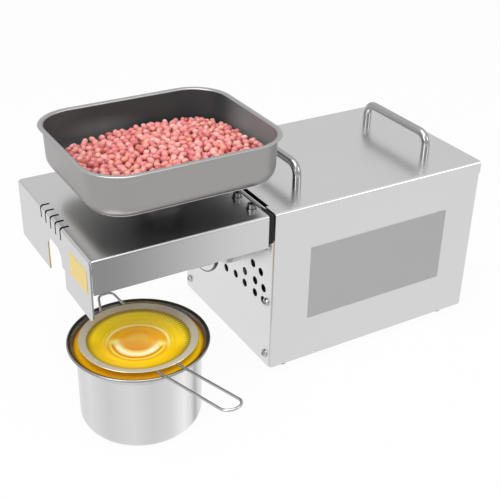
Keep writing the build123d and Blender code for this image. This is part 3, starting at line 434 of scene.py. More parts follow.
# the others: colour, roughness, scale of the grain, contrast, bump, share of metal and coat
moulds = {
    "castAlloy": ((0.56, 0.57, 0.58), 0.48, 500.0, 0.08, 0.4, 1.0),
    "bandSteel": ((0.78, 0.72, 0.58), 0.26, 300.0, 0.05, 0.02, 0.45),
    # painted shade: the inside of the pan's steel is painted near black
    "panInside": ((0.040, 0.048, 0.050), 0.36, 240.0, 0.10, 0.02),
    "blackRubber": ((0.004, 0.004, 0.004), 0.85, 1100.0, 0.3, 0.2),
    "footRubber": ((0.05, 0.05, 0.05), 0.6, 900.0, 0.2, 0.2),
    "greyFilm": ((0.425, 0.425, 0.43), 0.42, 1500.0, 0.02, 0.04),
    "yellowFilm": ((0.84, 0.64, 0.20), 0.45, 1500.0, 0.03, 0.04),
    "thermostatPlastic": ((0.02, 0.018, 0.016), 0.5, 900.0, 0.12, 0.15),
    "motorPaint": ((0.03, 0.034, 0.04), 0.42, 700.0, 0.15, 0.1, 0.0, 0.3),
    "fanPlastic": ((0.02, 0.02, 0.02), 0.55, 900.0, 0.12, 0.15),
    "boardGreen": ((0.01, 0.09, 0.035), 0.3, 300.0, 0.3, 0.05, 0.0, 0.5),
    "componentBlue": ((0.02, 0.05, 0.16), 0.4, 900.0, 0.12, 0.15),
    "switchBlack": ((0.014, 0.014, 0.015), 0.42, 1400.0, 0.2, 0.25),
    "rockerRed": ((0.42, 0.012, 0.010), 0.25, 1400.0, 0.1, 0.05, 0.0, 0.5),
    "shadedSkin": ((0.22, 0.035, 0.03), 0.7, 900.0, 0.12, 0.15),
}
finishes = {name: brushedMetal(name, *values) for name, values in metals.items()}
finishes.update({name: moulded(name, *values) for name, values in moulds.items()})

# the nodes that each finish goes to
finishNodes = {
    "housingSteel": ["cover"],
    "endSteel": ["end_panel", "rear_panel", "base_plate"],
    "barSteel": ["carry_handles"],
    "screwSteel": ["handle_screws", "panel_screws", "foot_screws", "barrel_bolts"],
    "footRubber": ["feet"],
    "hoodSteel": ["hood"],
    "boltSteel": ["hood_bolts"],
    "blackRubber": ["hood_seal"],
    "hingeSteel": ["hinge_leaf_fixed", "hinge_leaf_moving", "hinge_pin"],
    "greyFilm": ["info_plate"],
    "yellowFilm": ["hood_plate", "strainer_oil", "pot_oil"],
    "barrelSteel": ["barrel", "nose_nut"],
    "discSteel": ["barrel_disc"],
    "workedSteel": ["press_screw"],
    "heaterSteel": ["heater_band"],
    "thermostatPlastic": ["thermostat"],
    "gearSteel": ["output_gear", "cluster_gear", "motor_pinion", "motor_shaft"],
    "castAlloy": ["gearbox_case", "gearbox_lid", "motor_saddle"],
    "bearingSteel": ["gearbox_bearings"],
    "motorPaint": ["motor_can"],
    "fanPlastic": ["motor_fan"],
    "boardGreen": ["control_board"],
    "componentBlue": ["board_components"],
    "switchBlack": ["switch_frames", "drive_rocker", "mains_inlet", "fuse_holder"],
    "rockerRed": ["heat_rocker"],
    "bladeBrass": ["inlet_blades"],
    "panOutside": ["feed_pan"],
    "panInside": ["seed_heap"],
    "potSteel": ["pot"],
    "bandSteel": ["strainer_band"],
    "wireSteel": ["strainer_mesh", "strainer_wire"],
}
for finishName, nodeNames in finishNodes.items():
    for nodeName in nodeNames:
        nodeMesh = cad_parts[nodeName].data
        nodeMesh.materials.clear()
        nodeMesh.materials.append(finishes[finishName])
print("finishes given to", sum(len(names) for names in finishNodes.values()), "nodes")

# hood: the painted reflection that greys its near side and the painted shade on the walls of its saw cuts,
# measured from its sides
hoodShade = {
    "flangeReflectionColour": (0.27, 0.27, 0.27),
    "sideStart": 1.4 * mm,
    "sideFull": 0.4 * mm,
    "endStart": 5.0 * mm,
    "slitShadeColour": (0.006, 0.006, 0.006),
    "slitPitch": 11.6 * mm,
    "slitHalf": 1.35 * mm,
    "slitCount": 5,
    "slitMiddle": 87.0 * mm,
    "slitDown": 11.5 * mm,
    "slitBack": 8.0 * mm,
}


def shadeHood(material):
    # painted reflection: the near side turns greyer towards the free end, where it mirrors the pot and the
    # floor's shadow
    side = slope(material, "y", hoodLow.y + hoodShade["sideStart"], hoodLow.y + hoodShade["sideFull"])
    ending = slope(material, "x", hoodHigh.x - hoodShade["endStart"], hoodLow.x)
    overlay(material, [side, ending], hoodShade["flangeReflectionColour"])
    # painted shade: the walls of the saw cuts over the bend are painted near black, for the dark inside seen
    # through them
    tree = material.node_tree
    parts = splitNode(tree, objectPlace(tree))
    pitch, count = hoodShade["slitPitch"], hoodShade["slitCount"]
    fromMiddle = mathNode(tree, "SUBTRACT", parts["Y"], hoodLow.y + hoodShade["slitMiddle"])
    nearest = mathNode(tree, "ROUND", mathNode(tree, "DIVIDE", fromMiddle, pitch))
    offset = mathNode(tree, "ABSOLUTE", mathNode(tree, "MULTIPLY_ADD", nearest, -pitch, fromMiddle))
    inSlit = mathNode(tree, "LESS_THAN", offset, hoodShade["slitHalf"])
    inRow = mathNode(tree, "LESS_THAN", mathNode(tree, "ABSOLUTE", fromMiddle), pitch * count / 2)
    inBack = mathNode(tree, "LESS_THAN", parts["X"], hoodLow.x + hoodShade["slitBack"])
    inHeight = mathNode(tree, "GREATER_THAN", parts["Z"], coverHigh.z - hoodShade["slitDown"])
    overlay(material, [inSlit, inRow, inBack, inHeight], hoodShade["slitShadeColour"])


# disc under the hood: a painted shadow stands dark round the turned edge of its bright face
discShade = {
    "edgeFull": 0.5 * mm,
    "edgeStart": 1.7 * mm,
    "edgeShadowColour": (0.04, 0.04, 0.04),
}


def shadeDisc(material):
    radius = (discHigh.y - discLow.y) / 2
    edge = patch(material, (discLow + discHigh) / 2, (0, 1, 1), radius - discShade["edgeFull"],
                 radius - discShade["edgeStart"])
    overlay(material, [edge], discShade["edgeShadowColour"])


shadeHood(finishes["hoodSteel"])
shadeDisc(finishes["discSteel"])
print("hood and disc shaded")


# ways of making a mesh
def addObject(name, mesh):
    piece = bpy.data.objects.new(name, mesh)
    scene.collection.objects.link(piece)
    return piece


def roundedPath(points, radii, steps=8):
    # a path whose corners are rounded by tangent arcs; a radius of 0 keeps the corner
    points = [Vector(p) for p in points]
    path = []
    for index, (corner, radius) in enumerate(zip(points, radii)):
        if radius == 0:
            path.append(corner)
            continue
        back = (points[index - 1] - corner).normalized()
        ahead = (points[index + 1] - corner).normalized()
        halfAngle = back.angle(ahead) / 2
        centre = corner + (back + ahead).normalized() * (radius / math.sin(halfAngle))
        first = corner + back * (radius / math.tan(halfAngle)) - centre
        last = corner + ahead * (radius / math.tan(halfAngle)) - centre
        sweep = math.pi - 2 * halfAngle
        for step in range(steps + 1):
            share = step / steps
            near = math.sin((1 - share) * sweep) / math.sin(sweep)
            far = math.sin(share * sweep) / math.sin(sweep)
            path.append(centre + first * near + last * far)
    return path


def stackMesh(name, rings, capped=False, closed=False):
    # joins rings of equally many points into a skin
    skin = bmesh.new()
    made = [[skin.verts.new(p) for p in ring] for ring in rings]
    pairs = list(zip(made, made[1:])) + ([(made[-1], made[0])] if closed else [])
    for lower, upper in pairs:
        count = len(lower)
        for i in range(count):
            j = (i + 1) % count
            skin.faces.new((lower[i], lower[j], upper[j], upper[i]))
    if capped:
        skin.faces.new(list(reversed(made[0])))
        skin.faces.new(made[-1])
    bmesh.ops.remove_doubles(skin, verts=skin.verts, dist=0.001 * mm)
    bmesh.ops.recalc_face_normals(skin, faces=skin.faces)
    mesh = bpy.data.meshes.new(name)
    skin.to_mesh(mesh)
    skin.free()
    return mesh


def smoothed(mesh, angle=35):
    for face in mesh.polygons:
        face.use_smooth = True
    mesh.set_sharp_from_angle(angle=math.radians(angle))
    return mesh


def turned(name, centre, profile, count, closed=False):
    # a profile of radius and height turned round an upright axis
    angles = [2 * math.pi * i / count for i in range(count)]
    circle = [(math.cos(a), math.sin(a)) for a in angles]
    rings = [[(centre.x + radius * c, centre.y + radius * s, height) for c, s in circle]
             for radius, height in profile]
    return smoothed(stackMesh(name, rings, closed=closed))


def roundBox(centre, halfX, halfY, corner, height, steps=9):
    # the outline of a rectangle with round corners, at a height
    points = []
    for quarter, (sx, sy) in enumerate(((1, 1), (-1, 1), (-1, -1), (1, -1))):
        for step in range(steps + 1):
            angle = math.pi / 2 * (quarter + step / steps)
            points.append((centre.x + sx * (halfX - corner) + corner * math.cos(angle),
                           centre.y + sy * (halfY - corner) + corner * math.sin(angle), height))
    return points


def addPiece(name, mesh, body, slotName, replaced, *materials):
    # a piece with the body that it rides on and the node that it stands for; its slot name is not used
    for material in materials:
        mesh.materials.append(material)
    piece = addObject(name, mesh)
    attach(piece, body)
    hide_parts(replaced)


# feed pan: a deep-drawn tray with a narrow flat lip, and a spout with a collar under it
pan = {
    "lip": 4.0 * mm,
    "corner": 37.8 * mm,
    "leastCorner": 2.0 * mm,
    "depth": 42.0 * mm,
    "taper": 1.2 * mm,
    "wall": 1.0 * mm,
    "floorRadius": 14.0 * mm,
    "floorReach": 30.0 * mm,
    "lipEdge": 0.5 * mm,
    "lipBend": 1.2 * mm,
    "underBend": 0.6 * mm,
    "underLip": 1.0 * mm,
    "lipDepth": 1.5 * mm,
    "underSlope": -0.96,
    "bendAngle": 40,
    "spoutRadius": 17.0 * mm,
    "spoutWall": 1.5 * mm,
    "spoutSink": 0.6 * mm,
    "spoutSides": 48,
    "collarRadius": 25.0 * mm,
    "collarThick": 4.0 * mm,
    "collarGap": 4.5 * mm,
}
# its painted reflections, highlights and shade: where each starts and is full, as distances in from the pan's
# sides
panShade = {
    "tint": (0.80, 1.0, 1.0),
    "rightWall": (34.0 * mm, 8.0 * mm),
    "rightBehind": 24.0 * mm,
    "rightReflectionColour": (0.20, 0.225, 0.23),
    "leftWall": (70.0 * mm, 8.0 * mm),
    "leftReflectionColour": (0.075, 0.085, 0.087),
    "lowPlace": Vector((-26.0, -5.0, -24.0)) * mm,
    "lowSqueeze": (1.0, 0.4, 3.4),
    "lowSpan": (4.0 * mm, 52.0 * mm),
    "lowReflectionColour": (0.12, 0.135, 0.138),
    "footBelow": (0.4 * mm, 1.2 * mm),
    "footAbove": (4.6 * mm, 3.4 * mm),
    "footHighlightColour": (0.50, 0.49, 0.485),
    "underLeft": (80.0 * mm, 5.0 * mm),
    "underLeftLightColour": (0.46, 0.45, 0.44),
    "underRight": (60.0 * mm, 0.0),
    "underRightLightColour": (0.26, 0.26, 0.26),
}


def alongPan(material, side, span):
    # a mask that grows towards the pan's left or right side
    places = [panHigh.x - s if side == "right" else panLow.x + s for s in span]
    return slope(material, "x", *places)


def shadePanInside(material):
    # painted reflections: a lighter right wall, a lighter left end and a soft light patch low on the far wall
    feed(material.node_tree, shaderOf(material), {"Specular Tint": panShade["tint"]})
    nearer = slope(material, "y", panHigh.y - panShade["rightBehind"], panCentre.y)
    overlay(material, [alongPan(material, "right", panShade["rightWall"]), nearer], panShade["rightReflectionColour"])
    overlay(material, [alongPan(material, "left", panShade["leftWall"])], panShade["leftReflectionColour"])
    centre = Vector((panCentre.x, panHigh.y, panHigh.z)) + panShade["lowPlace"]
    low = patch(material, centre, panShade["lowSqueeze"], *panShade["lowSpan"])
    overlay(material, [low], panShade["lowReflectionColour"])


def shadePanOutside(material):
    # a painted highlight: the rounded foot glows as one thin bright line
    tree, shader = material.node_tree, shaderOf(material)
    floor = panHigh.z - pan["depth"]
    below, above = (slope(material, "z", floor + panShade[name][0], floor + panShade[name][1])
                    for name in ("footBelow", "footAbove"))
    foot = mathNode(tree, "MULTIPLY", below, above)
    shine = colourRamp(tree, foot, [(0.0, (0.0, 0.0, 0.0)), (1.0, panShade["footHighlightColour"])])
    feed(tree, shader, {"Emission Color": shine, "Emission Strength": 1.0})


def shadePanUnder(material):
    # painted light: lighter towards both ends, which the hood's top mirrors
    overlay(material, [alongPan(material, "left", panShade["underLeft"])], panShade["underLeftLightColour"])
    overlay(material, [alongPan(material, "right", panShade["underRight"])], panShade["underRightLightColour"])


def panProfile(top, floor):
    # inset from the lip's edge, and height, from the inner floor over the lip to the outer floor
    wall, taper, edge = pan["wall"], pan["taper"], pan["lipEdge"]
    outside = pan["lip"]
    inside = outside + wall
    inner = roundedPath([(inside + taper + pan["floorReach"], floor + wall), (inside + taper, floor + wall),
                         (inside, top), (outside, top)],
                        [0, pan["floorRadius"] - wall, pan["lipBend"], 0])
    lip = [(edge, top), (0, top - edge), (edge, top - wall)]
    outer = roundedPath([(outside - pan["underLip"], top - wall), (outside, top - wall),
                         (outside + taper, floor), (outside + taper + pan["floorReach"], floor)],
                        [0, pan["underBend"], pan["floorRadius"], 0])
    return [*inner, *lip, *outer]


def makePan():
    top = panHigh.z
    floor = top - pan["depth"]
    halfX, halfY = (panHigh.x - panLow.x) / 2, (panHigh.y - panLow.y) / 2
    rings = []
    for inset, height in panProfile(top, floor):
        corner = max(pan["corner"] - inset, pan["leastCorner"])
        rings.append(roundBox(panCentre, halfX - inset, halfY - inset, corner, height))
    mesh = stackMesh("feedPan", rings, capped=True)
    names = ("panInside", "panOutside", "panLip", "panUnder")
    for face in mesh.polygons:
        low = min(mesh.vertices[v].co.z for v in face.vertices)
        outwards = face.normal.xy.dot((face.center - panCentre).xy)
        name = "panOutside" if outwards > 0 else "panInside"
        if low > top - pan["lipDepth"]:
            name = "panLip"
        elif face.normal.z < pan["underSlope"]:
            name = "panUnder"
        face.material_index = names.index(name)
    addPiece("feedPan", smoothed(mesh, pan["bendAngle"]), "pan", "pan_steel", "feed_pan",
             *(finishes[name] for name in names))


def makeSpout():
    # the spout stands over the barrel's neck, under the pan's own middle
    r, wall, wide = pan["spoutRadius"], pan["spoutWall"], pan["collarRadius"]
    head = panHigh.z - pan["depth"] + pan["spoutSink"]
    collarLow = coverHigh.z + pan["collarGap"]
    collarHigh = collarLow + pan["collarThick"]
    profile = [(r - wall, head), (r - wall, panLow.z), (r, panLow.z), (r, collarLow), (wide, collarLow),
               (wide, collarHigh), (r, collarHigh), (r, head)]
    mesh = turned("panSpout", panCentre, profile, pan["spoutSides"], closed=True)
    addPiece("panSpout", mesh, "pan", "pan_steel", "feed_pan", finishes["panOutside"])


shadePanInside(finishes["panInside"])
shadePanOutside(finishes["panOutside"])
shadePanUnder(finishes["panUnder"])
makePan()
makeSpout()
print("pan made")

# seeds: small pink kernels scattered over the heap
seeds = {
    "edgeGap": 3.4 * mm,
    "cell": 4.0 * mm,
    "length": 7.9 * mm,
    "width": 5.9 * mm,
    "sides": 9,
    "rings": 6,
    "smallest": (0.84, 0.82, 0.84),
    "largest": (1.1, 1.06, 1.12),
    "spacing": 5.6 * mm,
    "density": 60000.0,
    "randomSeed": 7,
    "randomStep": 11,
    "layerDrop": 3.6 * mm,
    "bedDrop": 1.6 * mm,
    "bedLift": 0.4 * mm,
    "drawIn": 0.2,
    "lift": 2.4 * mm,
    "ballRadius": 500.0 * mm,
    "aside": Vector((16.0, -36.5, 0.0)) * mm,
    "grain": 500.0,
    "rough": 0.40,
    "bump": 0.12,
    "bumpDepth": 0.3 * mm,
    "softness": 0.25,
    "softReach": Vector((3.0, 1.0, 0.8)) * mm,
    "veins": (0.92, 0.80, 0.79),
    "skins": [(0.0, (0.66, 0.16, 0.16)), (0.22, (0.86, 0.31, 0.29)), (0.45, (0.94, 0.43, 0.40)),
              (0.65, (0.82, 0.26, 0.26)), (0.85, (0.97, 0.54, 0.50)), (1.0, (0.93, 0.42, 0.26))],
}


def heapHeight(x, y):
    # the heap's own slope: part of a wide ball whose top stands a little to the near side
    away = math.hypot(x - panCentre.x - seeds["aside"].x, y - panCentre.y - seeds["aside"].y)
    return heapHigh.z - seeds["ballRadius"] + math.sqrt(seeds["ballRadius"] ** 2 - away ** 2)


def insidePan(x, y, gap):
    # whether a point of the heap lies inside the pan's wall by a gap
    inset = pan["lip"] + pan["wall"] + pan["taper"] + gap
    corner = pan["corner"] - inset
    dx = abs(x - panCentre.x) - ((panHigh.x - panLow.x) / 2 - inset - corner)
    dy = abs(y - panCentre.y) - ((panHigh.y - panLow.y) / 2 - inset - corner)
    if dx > 0 and dy > 0:
        return math.hypot(dx, dy) <= corner
    return dx <= corner and dy <= corner


def heapSurface(drop):
    # a grid over the pan, cut to the wall's outline
    cell = seeds["cell"]
    floor = panHigh.z - pan["depth"] + pan["wall"]
    foot = pan["floorRadius"] - pan["wall"]
    skin = bmesh.new()
    places = {}
    columns = int((panHigh.x - panLow.x) / cell)
    rows = int((panHigh.y - panLow.y) / cell)
    for i in range(columns + 1):
        for j in range(rows + 1):
            x, y = panLow.x + i * cell, panLow.y + j * cell
            height = max(heapHeight(x, y) - drop, floor + seeds["edgeGap"])
            # the pan's rounded foot takes more of the edge low down
            rise = min((height - floor) / foot, 1.0)
            inset = foot * (1 - math.sqrt(1 - (1 - rise) ** 2))
            if insidePan(x, y, seeds["edgeGap"] + inset):
                places[i, j] = skin.verts.new((x, y, height))
    for i, j in list(places):
        corners = [(i, j), (i + 1, j), (i + 1, j + 1), (i, j + 1)]
        if all(c in places for c in corners):
            skin.faces.new([places[c] for c in corners])
    mesh = bpy.data.meshes.new("heapSurface")
    skin.to_mesh(mesh)
    skin.free()
    return mesh


def runTree(name, mesh, tree, values):
    # gives the tree its sizes, runs it on a mesh and keeps the result as a plain mesh
    holder = addObject(name, mesh)
    modifier = holder.modifiers.new(name, "NODES")
    modifier.node_group = tree
    for item in tree.interface.items_tree:
        if item.item_type == "SOCKET" and item.in_out == "INPUT" and item.name in values:
            modifier[item.identifier] = values[item.name]
    bpy.context.view_layer.update()
    result = bpy.data.meshes.new_from_object(holder.evaluated_get(bpy.context.evaluated_depsgraph_get()))
    holder.modifiers.clear()
    bpy.data.objects.remove(holder)
    result.name = name
    return result


def newGeometryTree(name, inputs):
    return newTree("GeometryNodeTree", name, [("Geometry", "Geometry", None), *inputs],
                   [("Geometry", "Geometry")])


def finishTree(tree, geometry, material, end):
    # real geometry with its material, as the tree's result
    real = addNode(tree, "GeometryNodeRealizeInstances", {0: geometry})
    paint = addNode(tree, "GeometryNodeSetMaterial", {"Geometry": real.outputs[0], "Material": material})
    feed(tree, end, {0: paint.outputs[0]})


def randomNode(tree, kind, low, high, seed, offset):
    # its own row of random values between two limits, for each offset of the seed
    first = {"FLOAT": 2, "FLOAT_VECTOR": 0}[kind]
    inputs = {first: low, first + 1: high, "Seed": mathNode(tree, "ADD", seed, offset)}
    return addNode(tree, "FunctionNodeRandomValue", inputs, data_type=kind).outputs[first // 2]


def kernelTree(material):
    tree, given, end = newGeometryTree("scatteredKernels", [
        ("Kernel Length", "Float", seeds["length"]), ("Kernel Width", "Float", seeds["width"]),
        ("Spacing", "Float", seeds["spacing"]), ("Density", "Float", seeds["density"]),
        ("Seed", "Int", seeds["randomSeed"]), ("Material", "Material", material)])
    seed, width = given["Seed"], given["Kernel Width"]
    ball = addNode(tree, "GeometryNodeMeshUVSphere",
                   {"Segments": seeds["sides"], "Rings": seeds["rings"], "Radius": 0.5})
    shape = addNode(tree, "GeometryNodeTransform", {
        "Geometry": ball.outputs["Mesh"], "Scale": joinNode(tree, width, width, given["Kernel Length"])})
    smooth = addNode(tree, "GeometryNodeSetShadeSmooth", {"Geometry": shape.outputs[0]})
    scatter = addNode(tree, "GeometryNodeDistributePointsOnFaces", {
        "Mesh": given["Geometry"], "Distance Min": given["Spacing"], "Density Max": given["Density"],
        "Seed": seed}, distribute_method="POISSON")
    place = addNode(tree, "GeometryNodeInstanceOnPoints", {
        "Points": scatter.outputs["Points"], "Instance": smooth.outputs[0],
        "Rotation": randomNode(tree, "FLOAT_VECTOR", (0, 0, 0), (math.tau,) * 3, seed, 1),
        "Scale": randomNode(tree, "FLOAT_VECTOR", seeds["smallest"], seeds["largest"], seed, 2)})
    tone = addNode(tree, "GeometryNodeStoreNamedAttribute", {
        "Geometry": place.outputs[0], "Name": "kernelTone",
        "Value": randomNode(tree, "FLOAT", 0.0, 1.0, seed, 3)}, domain="INSTANCE", data_type="FLOAT")
    finishTree(tree, tone.outputs[0], given["Material"], end)
    return tree


def kernelMaterial():
    # dry pink skins that vary from kernel to kernel, with fine veins
    material, tree, shader, grain = newMaterial(
        "pinkSkin", grainGroup, {"Scale": seeds["grain"], "Base Rough": seeds["rough"]})
    tone = addNode(tree, "ShaderNodeAttribute", attribute_name="kernelTone")
    skins = colourRamp(tree, tone.outputs["Fac"], seeds["skins"])
    feed(tree, shader, {
        "Base Color": mixNode(tree, grain["Height"], skins, seeds["veins"], "MULTIPLY"),
        "Roughness": grain["Roughness"], "Subsurface Weight": seeds["softness"],
        "Subsurface Radius": seeds["softReach"]})
    addRelief(tree, shader, grain["Height"], seeds["bump"], seeds["bumpDepth"])
    return material


def makeKernels():
    tree = kernelTree(kernelMaterial())
    for layer, name in enumerate(("seedsOnTop", "seedsBelow")):
        surface = heapSurface(seeds["width"] / 2 - seeds["lift"] + layer * seeds["layerDrop"])
        values = {"Seed": seeds["randomSeed"] + seeds["randomStep"] * layer}
        kernels = runTree(name, surface, tree, values)
        addPiece(name, kernels, "pan", "seed_skin", "seed_heap")
        print(name, len(kernels.polygons), "faces")


def makeSeedBed():
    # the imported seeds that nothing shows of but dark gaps
    bed = heapSurface(seeds["width"] / 2 - seeds["lift"] + seeds["layerDrop"] + seeds["bedDrop"])
    deep = bmesh.new()
    deep.from_mesh(bed)
    skirt = bmesh.ops.extrude_face_region(deep, geom=list(deep.faces))
    floor = panHigh.z - pan["depth"] + pan["wall"] + seeds["bedLift"]
    for item in skirt["geom"]:
        if isinstance(item, bmesh.types.BMVert):
            # drawn in below, clear of the pan's rounded foot
            item.co.x += (panCentre.x - item.co.x) * seeds["drawIn"]
            item.co.y += (panCentre.y - item.co.y) * seeds["drawIn"]
            item.co.z = floor
    bmesh.ops.recalc_face_normals(deep, faces=deep.faces)
    deep.to_mesh(bed)
    deep.free()
    addPiece("seedBed", bed, "pan", "seed_skin", "seed_heap", finishes["shadedSkin"])


makeKernels()
makeSeedBed()
print("seeds scattered")

# pot: a spun cup with a flared mouth and a rolled bead, whose faces are told by their reach in bead radii
pot = {
    "body": 53.3 * mm,
    "floorRadius": 11.0 * mm,
    "wall": 1.0 * mm,
    "bead": 1.2 * mm,
    "curlTurn": 150,
    "curlStep": 20,
    "flareDrop": 11.0 * mm,
    "flareBend": 4.0 * mm,
    "sides": 128,
    "beadDrop": 2.2,
    "beadOuter": 1.1,
    "beadInner": 3.0,
    "floorSlope": 0.5,
}
# painted reflections: soft upright streaks, as the share of a turn from the -X side and the brightness there
potReflectionStreaks = [(0.0, 0.92), (0.04, 1.06), (0.10, 0.92), (0.163, 1.03), (0.213, 0.90), (0.26, 1.0),
              (0.302, 1.3), (0.328, 1.05), (0.348, 0.54), (0.368, 0.88), (0.41, 1.08), (0.55, 0.85),
              (0.68, 1.15), (0.80, 0.9), (0.91, 0.95), (1.0, 0.92)]


def shadePot(material):
    # painted reflections: the streaks stand round the spun body, as polished sheet mirrors its surroundings
    tree = material.node_tree
    centred = addNode(tree, "ShaderNodeMapping", {"Vector": objectPlace(tree), "Location": -potCentre})
    parts = splitNode(tree, centred.outputs[0])
    angle = mathNode(tree, "ARCTAN2", parts["Y"], parts["X"])
    share = mathNode(tree, "MULTIPLY_ADD", angle, 1 / math.tau, 0.5)
    streaks = colourRamp(tree, share, [(position, (level,) * 3) for position, level in potReflectionStreaks])
    recolour(material, 1.0, streaks, "MULTIPLY")


def potProfile(rim, top):
    # radius and height, from the middle of the foot over the bead to the middle of the inner floor
    bead, wall, body = pot["bead"], pot["wall"], pot["body"]
    flare = top - pot["flareDrop"]
    outer = roundedPath([(0, 0), (body, 0), (body, flare), (rim - 2 * bead, top - bead)],
                        [0, pot["floorRadius"], pot["flareBend"], 0])
    # the bead goes down round its outside and over its top
    turns = [math.radians(d) for d in range(-pot["curlTurn"], pot["curlTurn"] + 1, pot["curlStep"])]
    curl = [(rim - bead + bead * math.cos(a), top - bead + bead * math.sin(a)) for a in turns]
    inner = roundedPath([(rim - 2 * bead - wall, top - bead), (body - wall, flare), (body - wall, wall),
                         (0, wall)], [0, pot["flareBend"], pot["floorRadius"] - wall, 0])
    return [*outer, *curl, *inner]


def makePot():
    rim, top, bead = (potHigh.x - potLow.x) / 2, potHigh.z, pot["bead"]
    mesh = turned("pot", potCentre, potProfile(rim, top), pot["sides"])
    names = ("potSteel", "potInside", "potBead", "beadOutside")
    for face in mesh.polygons:
        away = (face.center - potCentre).xy
        atBead = face.center.z > top - pot["beadDrop"] * bead
        name = "potSteel"
        if atBead and away.length > rim - pot["beadOuter"] * bead:
            name = "beadOutside"
        elif atBead and away.length > rim - pot["beadInner"] * bead:
            name = "potBead"
        elif away.dot(face.normal.xy) < 0 or face.normal.z > pot["floorSlope"]:
            name = "potInside"
        face.material_index = names.index(name)
    addPiece("pot", mesh, "pot", "pot_steel", "pot", *(finishes[name] for name in names))


shadePot(finishes["potSteel"])
makePot()
print("pot made")

# strainer: a sloping band and a woven bowl; its wire handles stay as in the solid model
strainer = {
    "bandThick": 0.8 * mm,
    "edgeUnder": 0.4 * mm,
    "edgeOver": 0.3 * mm,
    "footRise": 0.3 * mm,
    "footOut": 0.5 * mm,
    "footIn": 0.6 * mm,
    "sides": 128,
    "meshPitch": 1.5 * mm,
    "meshWire": 0.16 * mm,
    "wirePoints": 22,
    "wireSides": 3,
    "widen": 1.01,
}


def bowlSphere():
    # the ball that the mesh bowl is part of: the bowl's rim, the ball's radius and its centre's height
    rim = (meshHigh.x - meshLow.x) / 2 * strainer["widen"]
    depth = meshHigh.z - meshLow.z
    radius = (rim ** 2 + depth ** 2) / (2 * depth)
    return rim, radius, meshLow.z + radius


def wovenTree(material):
    # straight wires laid both ways over a disc, then let down onto a ball
    rim, radius, height = bowlSphere()
    tree, given, end = newGeometryTree("wovenBowl", [
        ("Rim", "Float", rim), ("Ball Radius", "Float", radius), ("Ball Height", "Float", height),
        ("Wire Radius", "Float", strainer["meshWire"]), ("Wires", "Int", 60), ("Centre", "Vector", (0, 0, 0)),
        ("Material", "Material", material)])
    step = mathNode(tree, "DIVIDE", mathNode(tree, "MULTIPLY", given["Rim"], 2.0), given["Wires"])
    first = mathNode(tree, "MULTIPLY_ADD", given["Rim"], -1.0, mathNode(tree, "MULTIPLY", step, 0.5))
    line = addNode(tree, "GeometryNodeMeshLine", {
        "Count": given["Wires"], "Start Location": joinNode(tree, 0, first, 0),
        "Offset": joinNode(tree, 0, step, 0)})
    aside = splitNode(tree, addNode(tree, "GeometryNodeInputPosition").outputs[0])["Y"]
    chord = mathNode(tree, "SUBTRACT", squareNode(tree, given["Rim"]), squareNode(tree, aside))
    wire = addNode(tree, "GeometryNodeCurvePrimitiveLine", {"Start": (-1, 0, 0), "End": (1, 0, 0)})
    fine = addNode(tree, "GeometryNodeResampleCurve", {
        "Curve": wire.outputs[0], "Count": strainer["wirePoints"]})
    lay = addNode(tree, "GeometryNodeInstanceOnPoints", {
        "Points": line.outputs[0], "Instance": fine.outputs[0],
        "Scale": joinNode(tree, mathNode(tree, "SQRT", chord), 1, 1)})
    real = addNode(tree, "GeometryNodeRealizeInstances", {0: lay.outputs[0]})
    quarter = addNode(tree, "GeometryNodeTransform", {
        "Geometry": real.outputs[0], "Rotation": (0, 0, math.pi / 2)})
    both = addNode(tree, "GeometryNodeJoinGeometry", {0: real.outputs[0]})
    feed(tree, both, {0: quarter.outputs[0]})
    # let each point down onto the ball
    place = splitNode(tree, addNode(tree, "GeometryNodeInputPosition").outputs[0])
    away = mathNode(tree, "MULTIPLY_ADD", place["Y"], place["Y"], squareNode(tree, place["X"]))
    drop = mathNode(tree, "SQRT", mathNode(tree, "SUBTRACT", squareNode(tree, given["Ball Radius"]), away))
    level = mathNode(tree, "SUBTRACT", given["Ball Height"], drop)
    bent = addNode(tree, "GeometryNodeSetPosition", {
        "Geometry": both.outputs[0], "Position": joinNode(tree, place["X"], place["Y"], level)})
    section = addNode(tree, "GeometryNodeCurvePrimitiveCircle", {
        "Resolution": strainer["wireSides"], "Radius": given["Wire Radius"]})
    thick = addNode(tree, "GeometryNodeCurveToMesh", {
        "Curve": bent.outputs[0], "Profile Curve": section.outputs[0]})
    moved = addNode(tree, "GeometryNodeTransform", {
        "Geometry": thick.outputs[0], "Translation": given["Centre"]})
    finishTree(tree, moved.outputs[0], given["Material"], end)
    return tree


def makeBand():
    rim, bowlRim = (bandHigh.x - bandLow.x) / 2, bowlSphere()[0]
    low, high, thick = bandLow.z, bandHigh.z, strainer["bandThick"]
    profile = [(bowlRim, low), (rim - strainer["edgeUnder"], high - thick), (rim, high - thick / 2),
               (rim - strainer["edgeOver"], high),
               (bowlRim + strainer["footOut"], low + thick + strainer["footRise"]),
               (bowlRim - strainer["footIn"], low + thick)]
    mesh = turned("strainerBand", potCentre, profile, strainer["sides"], closed=True)
    addPiece("strainerBand", mesh, "strainer", "strainer_steel", "strainer_band", finishes["bandSteel"])


def makeBowl():
    wires = round(2 * bowlSphere()[0] / strainer["meshPitch"])
    tree = wovenTree(finishes["wireSteel"])
    start = bpy.data.meshes.new("bowlStart")
    bowl = runTree("strainerMesh", start, tree, {"Wires": wires, "Centre": tuple(potCentre)})
    addPiece("strainerMesh", bowl, "strainer", "strainer_steel", "strainer_mesh")
    print("woven bowl:", len(bowl.polygons), "faces")


makeBand()
makeBowl()
print("strainer made")

